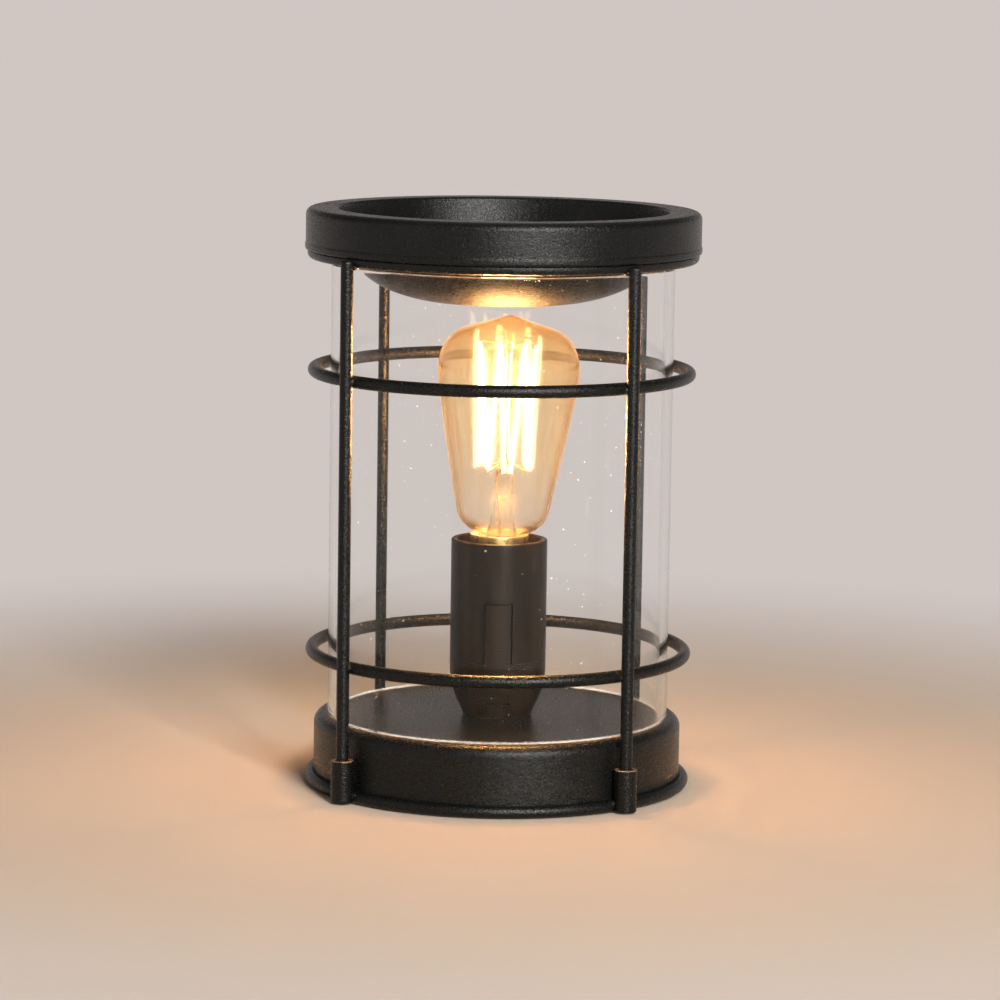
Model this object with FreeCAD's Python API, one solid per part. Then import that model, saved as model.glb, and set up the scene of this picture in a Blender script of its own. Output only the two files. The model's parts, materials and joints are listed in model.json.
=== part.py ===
"""Electric candle warmer lamp with a lift-off wax dish, a wire cage and a glass cylinder.

Millimetres, +Z up. The origin is the centre of the foot ring on the surface that the lamp
stands on. -Y is the front, and the mains cord comes in at +Y.
"""
import FreeCAD
import Part
import math
import os
from FreeCAD import Vector

UP = Vector(0, 0, 1)

# Sheet, wire and general fits
SHEET = 1.2                 # pressed steel of the dish, drum and bottom cover
WIRE_D = 3.6                # hoops and foot ring
ROD_D = 3.6                 # upright rods
WELD_SINK = 0.8             # how deep a rod is welded into the hoops
FIT = 0.1                   # gap round a piece that sits in a hole of its own size
THREAD_FIT = 0.05           # gap between a plain-modelled screw and its hole

# Glass cylinder
GLASS_D = 98.5
GLASS_WALL = 2.2
GLASS_EDGE_R = 0.8          # fire-polished edge

# Base drum and foot ring
DRUM_LEDGE = 3.9            # drum beyond the glass, all round
DRUM_TOP_Z = 20.0
DRUM_BOTTOM_Z = 3.0
DRUM_EDGE_R = 2.8
HOOP_TO_GLASS = 2.95        # clear gap between a hoop and the glass

# Sleeves that the rods stand in
SLEEVE_CLEARANCE = 0.3
SLEEVE_WALL = 1.1
SLEEVE_BOTTOM_Z = 0.4
SLEEVE_FLOOR = 1.2
SLEEVE_TOP_Z = 12.5
CAGE_TURN = -50.0           # angle of the first rod from +X, degrees
ROD_COUNT = 4

# Cage
LOWER_HOOP_ABOVE_DRUM = 18.7
UPPER_HOOP_BELOW_RING = 32.1
GLASS_PLAY = 1.1            # between the glass and the ring above it
RING_THICK = 2.5
RING_INSIDE_RODS = 0.65     # ring's outer edge inside the rods' centre lines
RING_OVER_GLASS = 1.65      # how far the ring reaches in over the glass wall
RING_LIP_R = 1.5            # rounding of the ring's outer lower edge
RING_EDGE_R = 0.5
ROD_TOP_BELOW_RING = 0.6    # rod ends stay below the ring's top face
ROD_END_R = 0.5

# Wax dish
BULB_TO_DISH = 3.9          # clear gap between the bulb and the dish above it
DISH_HEIGHT = 12.0          # skirt, from the ring up to the rim
SKIRT_OVER_RING = 0.55      # skirt beyond the ring's outer edge
HEM_OUT = 0.2               # hem beyond the skirt
HEM_HEIGHT = 1.7
HEM_WIDTH = 2.0
RIM_EDGE_R = 2.0
RIM_INNER_EDGE_R = 0.8
BOWL_DEPTH = 25.3
BOWL_WALL = 4.3             # upright part of the bowl's wall, below the rim
BOWL_FLAT_R = 16.0
BOWL_ARC_R = 45.0           # outside radius of the shallow part of the bowl

# Lampholder
HOLDER_R = 13.9
HOLDER_WALL = 1.6
HOLDER_BELOW_RIM = 1.4      # shell's top below the bulb cap's rim
HOLDER_EDGE_R = 0.6
HOLDER_FOOT_IN = 4.1        # foot's edge inside the body's
HOLDER_FOOT_EDGE_R = 0.8
HOLDER_TAPER = 14.0         # height of the tapered foot
SEAM_ABOVE_TAPER = 2.4
HOLDER_FIT = 0.2            # between the shell and what goes into it
HOLDER_FLOOR = 4.5
SPIGOT_HEIGHT = 4.0
SPIGOT_WALL = 1.3
TONGUE_WIDTH = 7.4
TONGUE_GAP = 0.5
TONGUE_HEIGHT = 17.3        # above the seam
NOTCH_WIDTH = 2.3
NOTCH_HEIGHT = 1.0
NOTCH_DEPTH = 0.7
NOTCH_SPACING = 5.2
NOTCH_ABOVE_DRUM = 4.6

# Inner body of the lampholder
INSERT_HEIGHT = 20.0
INSERT_FLOOR = 2.0
INSERT_CAVITY = 4.5         # height of the terminal space under the floor
SCREW_SHELL_WALL = 0.7
SCREW_SHELL_HEIGHT = 13.0
SCREW_SHELL_RIB = 0.4       # rolled thread ribs standing out of the shell
BULB_CLEARANCE = 0.35       # between the bulb's thread and the screw shell
CONTACT_STRIP = 0.8
CONTACT_WIDTH = 4.0
CONTACT_RISE = 0.8          # centre contact's tip above the insert floor
CONTACT_TIP_LENGTH = 5.0
CENTRE_TAB_OUT_R = 6.2
TERMINAL_SIZE = 4.2
TERMINAL_HEIGHT = 4.0
TERMINAL_DEPTH = 5.0
TERMINAL_SCREW_R = 1.1
TERMINAL_SCREW_HEAD_R = 1.9
TERMINAL_SCREW_HEAD = 1.4
TERMINAL_SCREW_REACH = 1.4

# Threaded nipple, its washer and nut
NIPPLE_D = 10.0
NIPPLE_BORE = 7.6
NIPPLE_BELOW_NUT = 1.0
WASHER_D = 18.0
WASHER_THICK = 1.0
NUT_AF = 14.0
NUT_THICK = 3.0

# Cable gland
GLAND_BORE = 6.2
GLAND_BODY_D = 9.0
GLAND_MARGIN = 0.1          # flange inside the flat of the drum's wall
GLAND_FLANGE = 2.2
GLAND_NUT_STEP = 0.4        # nut across its flats less than the flange
GLAND_NUT = 3.0
GLAND_INNER_END = 1.2       # gland body beyond its nut
GLAND_EDGE_R = 0.6

# Bottom cover, lugs, screws and foot pads
COVER_GAP = 0.25
COVER_RECESS = 0.4          # cover up inside the drum's lower edge
LUG_ANGLES = (30.0, 150.0, 270.0)
LUG_WIDTH = 8.0
LUG_DEPTH = 8.0
LUG_HEIGHT = 6.0
LUG_HOLE_R = 1.5
COVER_SCREW_HEAD_R = 2.8
COVER_SCREW_HEAD = 1.8
COVER_SCREW_LENGTH = 6.0
COVER_HOLE_CLEARANCE = 0.3
PAD_ANGLES = (90.0, 210.0, 330.0)
PAD_INSET = 13.95           # pad centres inside the drum's inner wall
PAD_D = 12.0
PAD_EDGE_R = 0.6

# Terminal block in the drum and the leads
BLOCK_WIDTH = 18.0
BLOCK_DEPTH = 12.0
BLOCK_HEIGHT = 11.0
BLOCK_TO_WASHER = 9.0
POLE_SPACING = 9.0
BLOCK_HOLE_R = 1.3
BLOCK_SCREW_R = 1.5
BLOCK_SCREW_LENGTH = 3.0
LEAD_D = 1.8
LEAD_BEND_R = 4.5
LEAD_HALF_SPACING = 1.7
LEAD_BELOW_NIPPLE = 1.4
LEAD_IN_TERMINAL = 2.0

# Bulb: small screw cap and teardrop envelope
CAP_LENGTH = 25.0           # centre contact to the top of the skirt
CAP_CREST_R = 6.9
CAP_ROOT_R = 6.2
CAP_PITCH = 2.82
CAP_TURNS = 4
CAP_THREAD_BOTTOM = 4.2     # above the contact
CAP_SKIRT_R = 8.5
CAP_SKIRT_HEIGHT = 4.5
CAP_WALL = 0.4
CAP_SHELL_BOTTOM = 3.2
CONTACT_R = 2.6
CONTACT_HEIGHT = 1.4
INSULATOR_R = 5.6
BULB_LEAN = 1.7             # envelope cemented slightly askew in its cap, degrees
LEAN_PIVOT_BELOW_RIM = 20.0
BULB_WALL = 0.8
BULB_NECK_R = 7.0
BULB_NECK_IN_CAP = 3.8
CEMENT_RECESS = 0.4         # cement's top below the cap's rim
BULB_R = 20.4
BULB_WIDEST_Z = 48.5        # above the cap rim
BULB_CROWN = 14.9           # top of the envelope above its widest place
BULB_SHOULDER_R = 12.0      # rounding from the widest place into the crown
# Side of the envelope below its widest place, in shares of its radius and height there
BULB_SIDE = (
    (0.471, 0.029), (0.598, 0.080), (0.681, 0.190), (0.755, 0.353), (0.853, 0.575), (0.946, 0.796)
)

# Glass mount and filament, heights above the cap rim
STEM_FLARE_R = 5.6
STEM_FLARE_TOP = 12.0
STEM_TUBE_R = 2.6
STEM_TUBE_TOP = 19.0
STEM_ROD_R = 0.9
STEM_BUTTON_R = 1.6
STEM_BUTTON_HEIGHT = 2.4
LOWER_BUTTON_ABOVE_TUBE = 1.0
UPPER_BUTTON_BELOW_FILAMENT = 3.0
FILAMENT_WIRE_R = 0.28
FILAMENT_LOOPS = 7
FILAMENT_LOWER_R = 8.2
FILAMENT_UPPER_R = 9.6
FILAMENT_BELOW_TUBE_TOP = 0.5
FILAMENT_BELOW_CROWN = 6.9
SUPPORT_WIRE_R = 0.22
MOUNT_WIRE_R = 0.35
MOUNT_WIRE_OFFSET = 1.6

# Worked-out places: base
glass_r = GLASS_D / 2
glass_inner_r = glass_r - GLASS_WALL
drum_r = glass_r + DRUM_LEDGE
drum_inner_r = drum_r - SHEET
drum_ceiling_z = DRUM_TOP_Z - SHEET
cover_bottom_z = DRUM_BOTTOM_Z + COVER_RECESS
cover_top_z = cover_bottom_z + SHEET
nut_top_z = drum_ceiling_z - WASHER_THICK
nipple_bottom_z = nut_top_z - NUT_THICK - NIPPLE_BELOW_NUT
lead_z = nipple_bottom_z - LEAD_BELOW_NIPPLE
block_front_y = WASHER_D / 2 + BLOCK_TO_WASHER
wall_flat_top_z = DRUM_TOP_Z - DRUM_EDGE_R
gland_z = (cover_top_z + wall_flat_top_z) / 2
gland_flange_d = wall_flat_top_z - cover_top_z - 2 * GLAND_MARGIN
gland_nut_af = gland_flange_d - GLAND_NUT_STEP

# Worked-out places: lampholder and bulb, each standing on the one below it
holder_foot_r = HOLDER_R - HOLDER_FOOT_IN
holder_bore_r = HOLDER_R - HOLDER_WALL
holder_taper_z = DRUM_TOP_Z + HOLDER_TAPER
holder_seam_z = holder_taper_z + SEAM_ABOVE_TAPER
tongue_top_z = holder_seam_z + TONGUE_HEIGHT
spigot_r = holder_bore_r - HOLDER_FIT
insert_bottom_z = holder_seam_z + SPIGOT_HEIGHT
terminal_top_z = insert_bottom_z + INSERT_CAVITY
insert_floor_z = terminal_top_z + INSERT_FLOOR
screw_shell_r = CAP_CREST_R + BULB_CLEARANCE
screw_shell_outer_r = screw_shell_r + SCREW_SHELL_WALL + SCREW_SHELL_RIB
shell_tab_out_r = screw_shell_r + SCREW_SHELL_WALL
shell_terminal_x = shell_tab_out_r - CONTACT_STRIP - TERMINAL_SIZE / 2
centre_terminal_x = -(CENTRE_TAB_OUT_R - CONTACT_STRIP - TERMINAL_SIZE / 2)
bulb_contact_z = insert_floor_z + CONTACT_RISE
cap_rim_z = bulb_contact_z + CAP_LENGTH
holder_top_z = cap_rim_z - HOLDER_BELOW_RIM
bulb_height = BULB_WIDEST_Z + BULB_CROWN
bulb_top_z = cap_rim_z + bulb_height
lower_button_z = STEM_TUBE_TOP + LOWER_BUTTON_ABOVE_TUBE
filament_lower_z = STEM_TUBE_TOP - FILAMENT_BELOW_TUBE_TOP
filament_upper_z = bulb_height - FILAMENT_BELOW_CROWN
upper_button_z = filament_upper_z - UPPER_BUTTON_BELOW_FILAMENT

# Worked-out places: dish over the bulb, ring under the dish, glass under the ring
dish_floor_z = bulb_top_z + BULB_TO_DISH
dish_top_z = dish_floor_z + SHEET + BOWL_DEPTH
ring_top_z = dish_top_z - DISH_HEIGHT
ring_bottom_z = ring_top_z - RING_THICK
glass_top_z = ring_bottom_z - GLASS_PLAY
wire_r = WIRE_D / 2
rod_r = ROD_D / 2
hoop_r = glass_r + HOOP_TO_GLASS + wire_r
lower_hoop_z = DRUM_TOP_Z + LOWER_HOOP_ABOVE_DRUM
upper_hoop_z = ring_bottom_z - UPPER_HOOP_BELOW_RING
rod_circle_r = hoop_r + wire_r + rod_r - WELD_SINK
sleeve_bore_r = rod_r + SLEEVE_CLEARANCE
sleeve_r = sleeve_bore_r + SLEEVE_WALL
rod_bottom_z = SLEEVE_BOTTOM_Z + SLEEVE_FLOOR
rod_top_z = ring_top_z - ROD_TOP_BELOW_RING
ring_inner_r = glass_r - RING_OVER_GLASS
ring_outer_r = rod_circle_r - RING_INSIDE_RODS
rim_inner_r = ring_inner_r
skirt_r = ring_outer_r + SKIRT_OVER_RING
hem_r = skirt_r + HEM_OUT

made = {}


def polar(radius, degrees, z=0.0):
    """Point at a radius and angle about the lamp's axis."""
    turn = math.radians(degrees)
    return Vector(radius * math.cos(turn), radius * math.sin(turn), z)


def cylinder(radius, bottom, top, centre=Vector(0, 0, 0)):
    """Upright cylinder between two heights."""
    return Part.makeCylinder(radius, top - bottom, Vector(centre.x, centre.y, bottom), UP)


def tube(outer, inner, bottom, top, centre=Vector(0, 0, 0)):
    """Upright round tube between two heights."""
    return cylinder(outer, bottom, top, centre).cut(cylinder(inner, bottom, top, centre))


def block(low, high):
    """Box between two corners."""
    size = Vector(*high) - Vector(*low)
    return Part.makeBox(size.x, size.y, size.z, Vector(*low))


def turned(edges):
    """Solid of revolution about the lamp's axis from edges in the XZ plane."""
    return Part.Face(Part.Wire(edges)).revolve(Vector(0, 0, 0), UP, 360)


def profile(*points):
    """Closed run of straight edges through (radius, height) points."""
    corners = [Vector(r, 0, z) for r, z in points]
    return list(Part.makePolygon(corners + corners[:1]).Edges)


def line(start, end):
    """Straight edge between (radius, height) points."""
    return Part.makeLine(Vector(start[0], 0, start[1]), Vector(end[0], 0, end[1]))


def arc(centre, radius, start, end):
    """Arc in the XZ plane, with its angles in degrees from +X towards +Z."""
    def on(degrees):
        turn = math.radians(degrees)
        return Vector(centre[0] + radius * math.cos(turn), 0, centre[1] + radius * math.sin(turn))
    return Part.Arc(on(start), on((start + end) / 2), on(end)).toShape()


def round_edges(shape, radius, wanted):
    """Fillet the edges that the test picks."""
    return shape.makeFillet(radius, [edge for edge in shape.Edges if wanted(edge)])


def circles_at(z, radius=None):
    """Test for whole circles at one height, and of one radius if it is given."""
    def wanted(edge):
        if not isinstance(edge.Curve, Part.Circle):
            return False
        same_height = abs(edge.Curve.Center.z - z) < 1e-4
        return same_height and (radius is None or abs(edge.Curve.Radius - radius) < 1e-4)
    return wanted


def hexagon(across_flats, bottom, top):
    """Upright hexagonal prism."""
    corner_r = across_flats / math.sqrt(3)
    corners = [polar(corner_r, 60 * side, bottom) for side in range(6)]
    return Part.Face(Part.makePolygon(corners + corners[:1])).extrude(UP * (top - bottom))


def bent_tube(points, radius, bend):
    """Round wire through corner points, with a tangent arc at each corner."""
    edges = []
    start = points[0]
    for before, corner, after in zip(points, points[1:], points[2:]):
        back = (before - corner).normalize()
        ahead = (after - corner).normalize()
        half_turn = (math.pi - back.getAngle(ahead)) / 2
        room = 0.45 * min((before - corner).Length, (after - corner).Length)
        setback = min(bend * math.tan(half_turn), room)
        arc_r = setback / math.tan(half_turn)
        middle = (back + ahead).normalize()
        inside = corner + middle * (arc_r / math.cos(half_turn) - arc_r)
        edges.append(Part.makeLine(start, corner + back * setback))
        edges.append(Part.Arc(corner + back * setback, inside, corner + ahead * setback).toShape())
        start = corner + ahead * setback
    edges.append(Part.makeLine(start, points[-1]))
    section = Part.makeCircle(radius, points[0], points[1] - points[0])
    return Part.Wire(edges).makePipeShell([Part.Wire(section)], True, False)


def wire_between(start, end, radius):
    """Straight round wire between two points."""
    return Part.makeCylinder(radius, (end - start).Length, start, end - start)


def keep(name, shape):
    """Check a finished piece and write it out."""
    shape = shape.removeSplitter()
    if not shape.isValid() or not shape.Solids:
        raise ValueError(name + " is not a valid solid")
    shape = shape.Solids[0] if len(shape.Solids) == 1 else Part.makeCompound(shape.Solids)
    made[name] = shape
    shape.exportStep("parts/" + name + ".step")


def group(name, shapes):
    """Write out identical pieces as one node of separate solids."""
    keep(name, Part.makeCompound(shapes))


def lean(shape):
    """Tilt a piece of the bulb with its envelope, towards +X."""
    pivot = Vector(0, 0, cap_rim_z - LEAN_PIVOT_BELOW_RIM)
    leaned = shape.copy()
    leaned.rotate(pivot, Vector(0, 1, 0), BULB_LEAN)
    return leaned


ROD_NAMES = ("front_right", "back_right", "back_left", "front_left")
rod_places = [polar(rod_circle_r, CAGE_TURN + 360.0 / ROD_COUNT * k) for k in range(ROD_COUNT)]


def make_dish():
    """Pressed wax dish: bowl, flat rim and a hemmed skirt that stands on the cage's ring."""
    floor_z = dish_floor_z
    wall_r = rim_inner_r + SHEET
    wall_bottom_z = dish_top_z - BOWL_WALL
    # Two arcs, tangent to each other, run from the flat bottom to the upright wall
    shallow = BOWL_ARC_R
    reach = wall_r - BOWL_FLAT_R
    drop = floor_z + shallow - wall_bottom_z
    steep = (reach ** 2 + drop ** 2 - shallow ** 2) / (2 * (reach - shallow))
    shallow_c = (BOWL_FLAT_R, floor_z + shallow)
    steep_c = (wall_r - steep, wall_bottom_z)
    mid = math.degrees(math.atan2(reach - steep, drop)) - 90
    under_z = dish_top_z - SHEET
    skirt_inner_r = skirt_r - SHEET
    hem_inner_r = hem_r - HEM_WIDTH
    hem_top_z = ring_top_z + HEM_HEIGHT
    hem_round = HEM_HEIGHT / 2
    inner_round_c = (rim_inner_r + RIM_INNER_EDGE_R, dish_top_z - RIM_INNER_EDGE_R)
    outer_round_c = (skirt_r - RIM_EDGE_R, dish_top_z - RIM_EDGE_R)
    under_round = RIM_EDGE_R - SHEET
    edges = [
        line((0, floor_z), (BOWL_FLAT_R, floor_z)),
        arc(shallow_c, shallow, -90, mid),
        arc(steep_c, steep, mid, 0),
        line((wall_r, wall_bottom_z), (wall_r, under_z)),
        line((wall_r, under_z), (skirt_inner_r - under_round, under_z)),
        arc((skirt_inner_r - under_round, under_z - under_round), under_round, 90, 0),
        line((skirt_inner_r, under_z - under_round), (skirt_inner_r, hem_top_z)),
        line((skirt_inner_r, hem_top_z), (hem_inner_r, hem_top_z)),
        line((hem_inner_r, hem_top_z), (hem_inner_r, ring_top_z)),
        line((hem_inner_r, ring_top_z), (hem_r - hem_round, ring_top_z)),
        arc((hem_r - hem_round, ring_top_z + hem_round), hem_round, -90, 0),
        line((hem_r, ring_top_z + hem_round), (skirt_r, hem_top_z + hem_round)),
        line((skirt_r, hem_top_z + hem_round), (skirt_r, outer_round_c[1])),
        arc(outer_round_c, RIM_EDGE_R, 0, 90),
        line((outer_round_c[0], dish_top_z), (inner_round_c[0], dish_top_z)),
        arc(inner_round_c, RIM_INNER_EDGE_R, 90, 180),
        line((rim_inner_r, inner_round_c[1]), (rim_inner_r, wall_bottom_z)),
        arc(steep_c, steep - SHEET, 0, mid),
        arc(shallow_c, shallow - SHEET, mid, -90),
        line((BOWL_FLAT_R, floor_z + SHEET), (0, floor_z + SHEET)),
        line((0, floor_z + SHEET), (0, floor_z)),
    ]
    keep("wax_dish", turned(edges))


def make_cage():
    """Top ring, two hoops outside the glass, and four rods welded outside them."""
    ring = tube(ring_outer_r, ring_inner_r, ring_bottom_z, ring_top_z)
    ring = round_edges(ring, RING_LIP_R, circles_at(ring_bottom_z, ring_outer_r))
    ring = round_edges(ring, RING_EDGE_R, circles_at(ring_bottom_z, ring_inner_r))
    ring = round_edges(ring, RING_EDGE_R, circles_at(ring_top_z))
    upper = Part.makeTorus(hoop_r, wire_r, Vector(0, 0, upper_hoop_z))
    lower = Part.makeTorus(hoop_r, wire_r, Vector(0, 0, lower_hoop_z))
    for name, place in zip(ROD_NAMES, rod_places):
        rod = cylinder(rod_r, rod_bottom_z, rod_top_z, place)
        rod = rod.makeFillet(ROD_END_R, [e for e in rod.Edges if isinstance(e.Curve, Part.Circle)])
        keep("cage_rod_" + name, rod)
        ring = ring.cut(rod)
        upper = upper.cut(rod)
        lower = lower.cut(rod)
    keep("cage_top_ring", ring)
    keep("cage_upper_hoop", upper)
    keep("cage_lower_hoop", lower)


def make_glass():
    """Clear cylinder, open at both ends."""
    glass = tube(glass_r, glass_inner_r, DRUM_TOP_Z, glass_top_z)
    glass = round_edges(glass, GLASS_EDGE_R, circles_at(glass_top_z))
    keep("glass_cylinder", round_edges(glass, GLASS_EDGE_R, circles_at(DRUM_TOP_Z)))


def make_base():
    """Drum, foot ring and the four sleeves welded to it."""
    foot_ring = Part.makeTorus(hoop_r, wire_r, Vector(0, 0, wire_r))
    drum = cylinder(drum_r, DRUM_BOTTOM_Z, DRUM_TOP_Z)
    drum = round_edges(drum, DRUM_EDGE_R, circles_at(DRUM_TOP_Z))
    hollow = cylinder(drum_inner_r, DRUM_BOTTOM_Z, drum_ceiling_z)
    hollow = round_edges(hollow, DRUM_EDGE_R - SHEET, circles_at(drum_ceiling_z))
    drum = drum.cut(hollow).cut(foot_ring)
    drum = drum.cut(cylinder(NIPPLE_D / 2 + FIT, drum_ceiling_z, DRUM_TOP_Z))
    gland_hole = Part.makeCylinder(
        GLAND_BODY_D / 2 + FIT, drum_r, Vector(0, 0, gland_z), Vector(0, 1, 0)
    )
    keep("base_drum", drum.cut(gland_hole))
    for name, place in zip(ROD_NAMES, rod_places):
        sleeve = cylinder(sleeve_r, SLEEVE_BOTTOM_Z, SLEEVE_TOP_Z, place)
        foot_ring = foot_ring.cut(sleeve)
        sleeve = sleeve.cut(cylinder(sleeve_bore_r, rod_bottom_z, SLEEVE_TOP_Z, place))
        keep("rod_sleeve_" + name, sleeve)
    keep("foot_ring", foot_ring)


def make_bottom():
    """Bottom cover, its lugs and screws, and the rubber pads under it."""
    cover = cylinder(drum_inner_r - COVER_GAP, cover_bottom_z, cover_top_z)
    drum_hollow = cylinder(drum_inner_r, cover_top_z, drum_ceiling_z)
    lug_middle_r = drum_inner_r - LUG_DEPTH / 2
    lugs = []
    screws = []
    for angle in LUG_ANGLES:
        lug = block(
            (drum_inner_r - LUG_DEPTH, -LUG_WIDTH / 2, cover_top_z),
            (drum_r, LUG_WIDTH / 2, cover_top_z + LUG_HEIGHT),
        )
        lug.rotate(Vector(0, 0, 0), UP, angle)
        lug = lug.common(drum_hollow)
        middle = polar(lug_middle_r, angle)
        lugs.append(lug.cut(cylinder(LUG_HOLE_R, cover_top_z, cover_top_z + LUG_HEIGHT, middle)))
        cover_hole_r = LUG_HOLE_R + COVER_HOLE_CLEARANCE
        cover = cover.cut(cylinder(cover_hole_r, cover_bottom_z, cover_top_z, middle))
        head = cylinder(COVER_SCREW_HEAD_R, cover_bottom_z - COVER_SCREW_HEAD, cover_bottom_z, middle)
        head = round_edges(head, COVER_SCREW_HEAD / 3, circles_at(cover_bottom_z - COVER_SCREW_HEAD))
        shank = cylinder(
            LUG_HOLE_R - THREAD_FIT, cover_bottom_z, cover_bottom_z + COVER_SCREW_LENGTH, middle
        )
        screws.append(head.fuse(shank))
    keep("bottom_cover", cover)
    group("cover_lugs", lugs)
    group("cover_screws", screws)
    pads = []
    for angle in PAD_ANGLES:
        pad = cylinder(PAD_D / 2, 0, cover_bottom_z, polar(drum_inner_r - PAD_INSET, angle))
        pads.append(round_edges(pad, PAD_EDGE_R, circles_at(0)))
    group("foot_pads", pads)


def make_gland():
    """Bush for the mains cord in the drum's back wall, and the nut inside that holds it."""
    back = Vector(0, 1, 0)
    nut_face_y = drum_inner_r - GLAND_NUT
    inner_end_y = nut_face_y - GLAND_INNER_END
    outer_end_y = drum_r + GLAND_FLANGE

    def rod(radius, start_y, end_y):
        return Part.makeCylinder(radius, end_y - start_y, Vector(0, start_y, gland_z), back)

    flange = rod(gland_flange_d / 2, drum_inner_r, outer_end_y)
    outer_edge = [e for e in flange.Edges if abs(e.CenterOfMass.y - outer_end_y) < 1e-4]
    flange = flange.makeFillet(GLAND_EDGE_R, outer_edge)
    flange = flange.cut(cylinder(drum_r, 0, DRUM_TOP_Z))
    body = rod(GLAND_BODY_D / 2, inner_end_y, outer_end_y - GLAND_FLANGE / 2)
    gland = flange.fuse(body).cut(rod(GLAND_BORE / 2, inner_end_y, outer_end_y))
    keep("cable_gland", gland)
    nut = hexagon(gland_nut_af, 0, GLAND_NUT + SHEET)
    nut.rotate(Vector(0, 0, 0), Vector(1, 0, 0), -90)
    nut.translate(Vector(0, nut_face_y, gland_z))
    nut = nut.common(cylinder(drum_inner_r, 0, DRUM_TOP_Z))
    keep("cable_gland_nut", nut.cut(rod(GLAND_BODY_D / 2 + THREAD_FIT, 0, drum_r)))


def make_nipple():
    """Hollow threaded nipple that carries the lampholder, with its washer and nut."""
    nipple_r = NIPPLE_D / 2
    top_z = DRUM_TOP_Z + HOLDER_FLOOR
    keep("lampholder_nipple", tube(nipple_r, NIPPLE_BORE / 2, nipple_bottom_z, top_z))
    keep("nipple_washer", tube(WASHER_D / 2, nipple_r + FIT, nut_top_z, drum_ceiling_z))
    nut = hexagon(NUT_AF, nut_top_z - NUT_THICK, nut_top_z)
    nut = nut.cut(cylinder(nipple_r + THREAD_FIT, nut_top_z - NUT_THICK, nut_top_z))
    keep("nipple_nut", nut)


def tongue_sector(width, bottom, top):
    """Front and back stretches of the shell's wall, of one width."""
    wall = tube(HOLDER_R, holder_bore_r, bottom, top)
    slab = block((-width / 2, -HOLDER_R, bottom), (width / 2, HOLDER_R, top))
    return wall.common(slab)


def make_lampholder():
    """Two plastic halves that snap together by a tongue in the front and in the back."""
    foot_z = DRUM_TOP_Z
    taper_top_z = holder_taper_z
    notch_z = foot_z + NOTCH_ABOVE_DRUM
    floor_z = foot_z + HOLDER_FLOOR
    spigot_top_z = insert_bottom_z
    spigot_bore_r = spigot_r - SPIGOT_WALL
    taper = Part.BSplineCurve()
    taper.interpolate(
        Points=[
            Vector(holder_foot_r + HOLDER_FOOT_EDGE_R / 2, 0, foot_z + HOLDER_FOOT_EDGE_R),
            Vector((holder_foot_r + HOLDER_R) / 2 + 0.6, 0, foot_z + HOLDER_TAPER * 0.42),
            Vector(HOLDER_R, 0, taper_top_z),
        ],
        Tangents=[Vector(0.35, 0, 1), Vector(0.3, 0, 1), Vector(0, 0, 1)],
        TangentFlags=[True, False, True],
        Scale=False,
    )
    taper_start = taper.StartPoint
    edges = [
        line((0, foot_z), (holder_foot_r, foot_z)),
        line((holder_foot_r, foot_z), (taper_start.x, taper_start.z)),
        taper.toShape(),
        line((HOLDER_R, taper_top_z), (HOLDER_R, holder_seam_z)),
        line((HOLDER_R, holder_seam_z), (spigot_r, holder_seam_z)),
        line((spigot_r, holder_seam_z), (spigot_r, spigot_top_z)),
        line((spigot_r, spigot_top_z), (0, spigot_top_z)),
        line((0, spigot_top_z), (0, foot_z)),
    ]
    cap = turned(edges)
    hollow = turned(profile(
        (0, floor_z), (holder_foot_r - HOLDER_WALL, floor_z),
        (spigot_bore_r, taper_top_z), (spigot_bore_r, spigot_top_z), (0, spigot_top_z),
    ))
    cap = cap.cut(hollow).cut(cylinder(NIPPLE_D / 2 + THREAD_FIT, foot_z, floor_z))
    for side in (-1, 1):
        middle = side * NOTCH_SPACING / 2
        notch = block(
            (middle - NOTCH_WIDTH / 2, -HOLDER_R, notch_z - NOTCH_HEIGHT / 2),
            (middle + NOTCH_WIDTH / 2, 0, notch_z + NOTCH_HEIGHT / 2),
        )
        notch_floor_r = holder_foot_r + (HOLDER_R - holder_foot_r) * 0.5 - NOTCH_DEPTH
        cap = cap.cut(notch.cut(cylinder(notch_floor_r, foot_z, taper_top_z)))
    cap = cap.fuse(tongue_sector(TONGUE_WIDTH, holder_seam_z, tongue_top_z))
    keep("lampholder_cap", cap)

    shell = tube(HOLDER_R, holder_bore_r, holder_seam_z, holder_top_z)
    shell = round_edges(shell, HOLDER_EDGE_R, circles_at(holder_top_z))
    window_width = TONGUE_WIDTH + 2 * TONGUE_GAP
    shell = shell.cut(tongue_sector(window_width, holder_seam_z, tongue_top_z + TONGUE_GAP))
    keep("lampholder_shell", shell)


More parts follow.
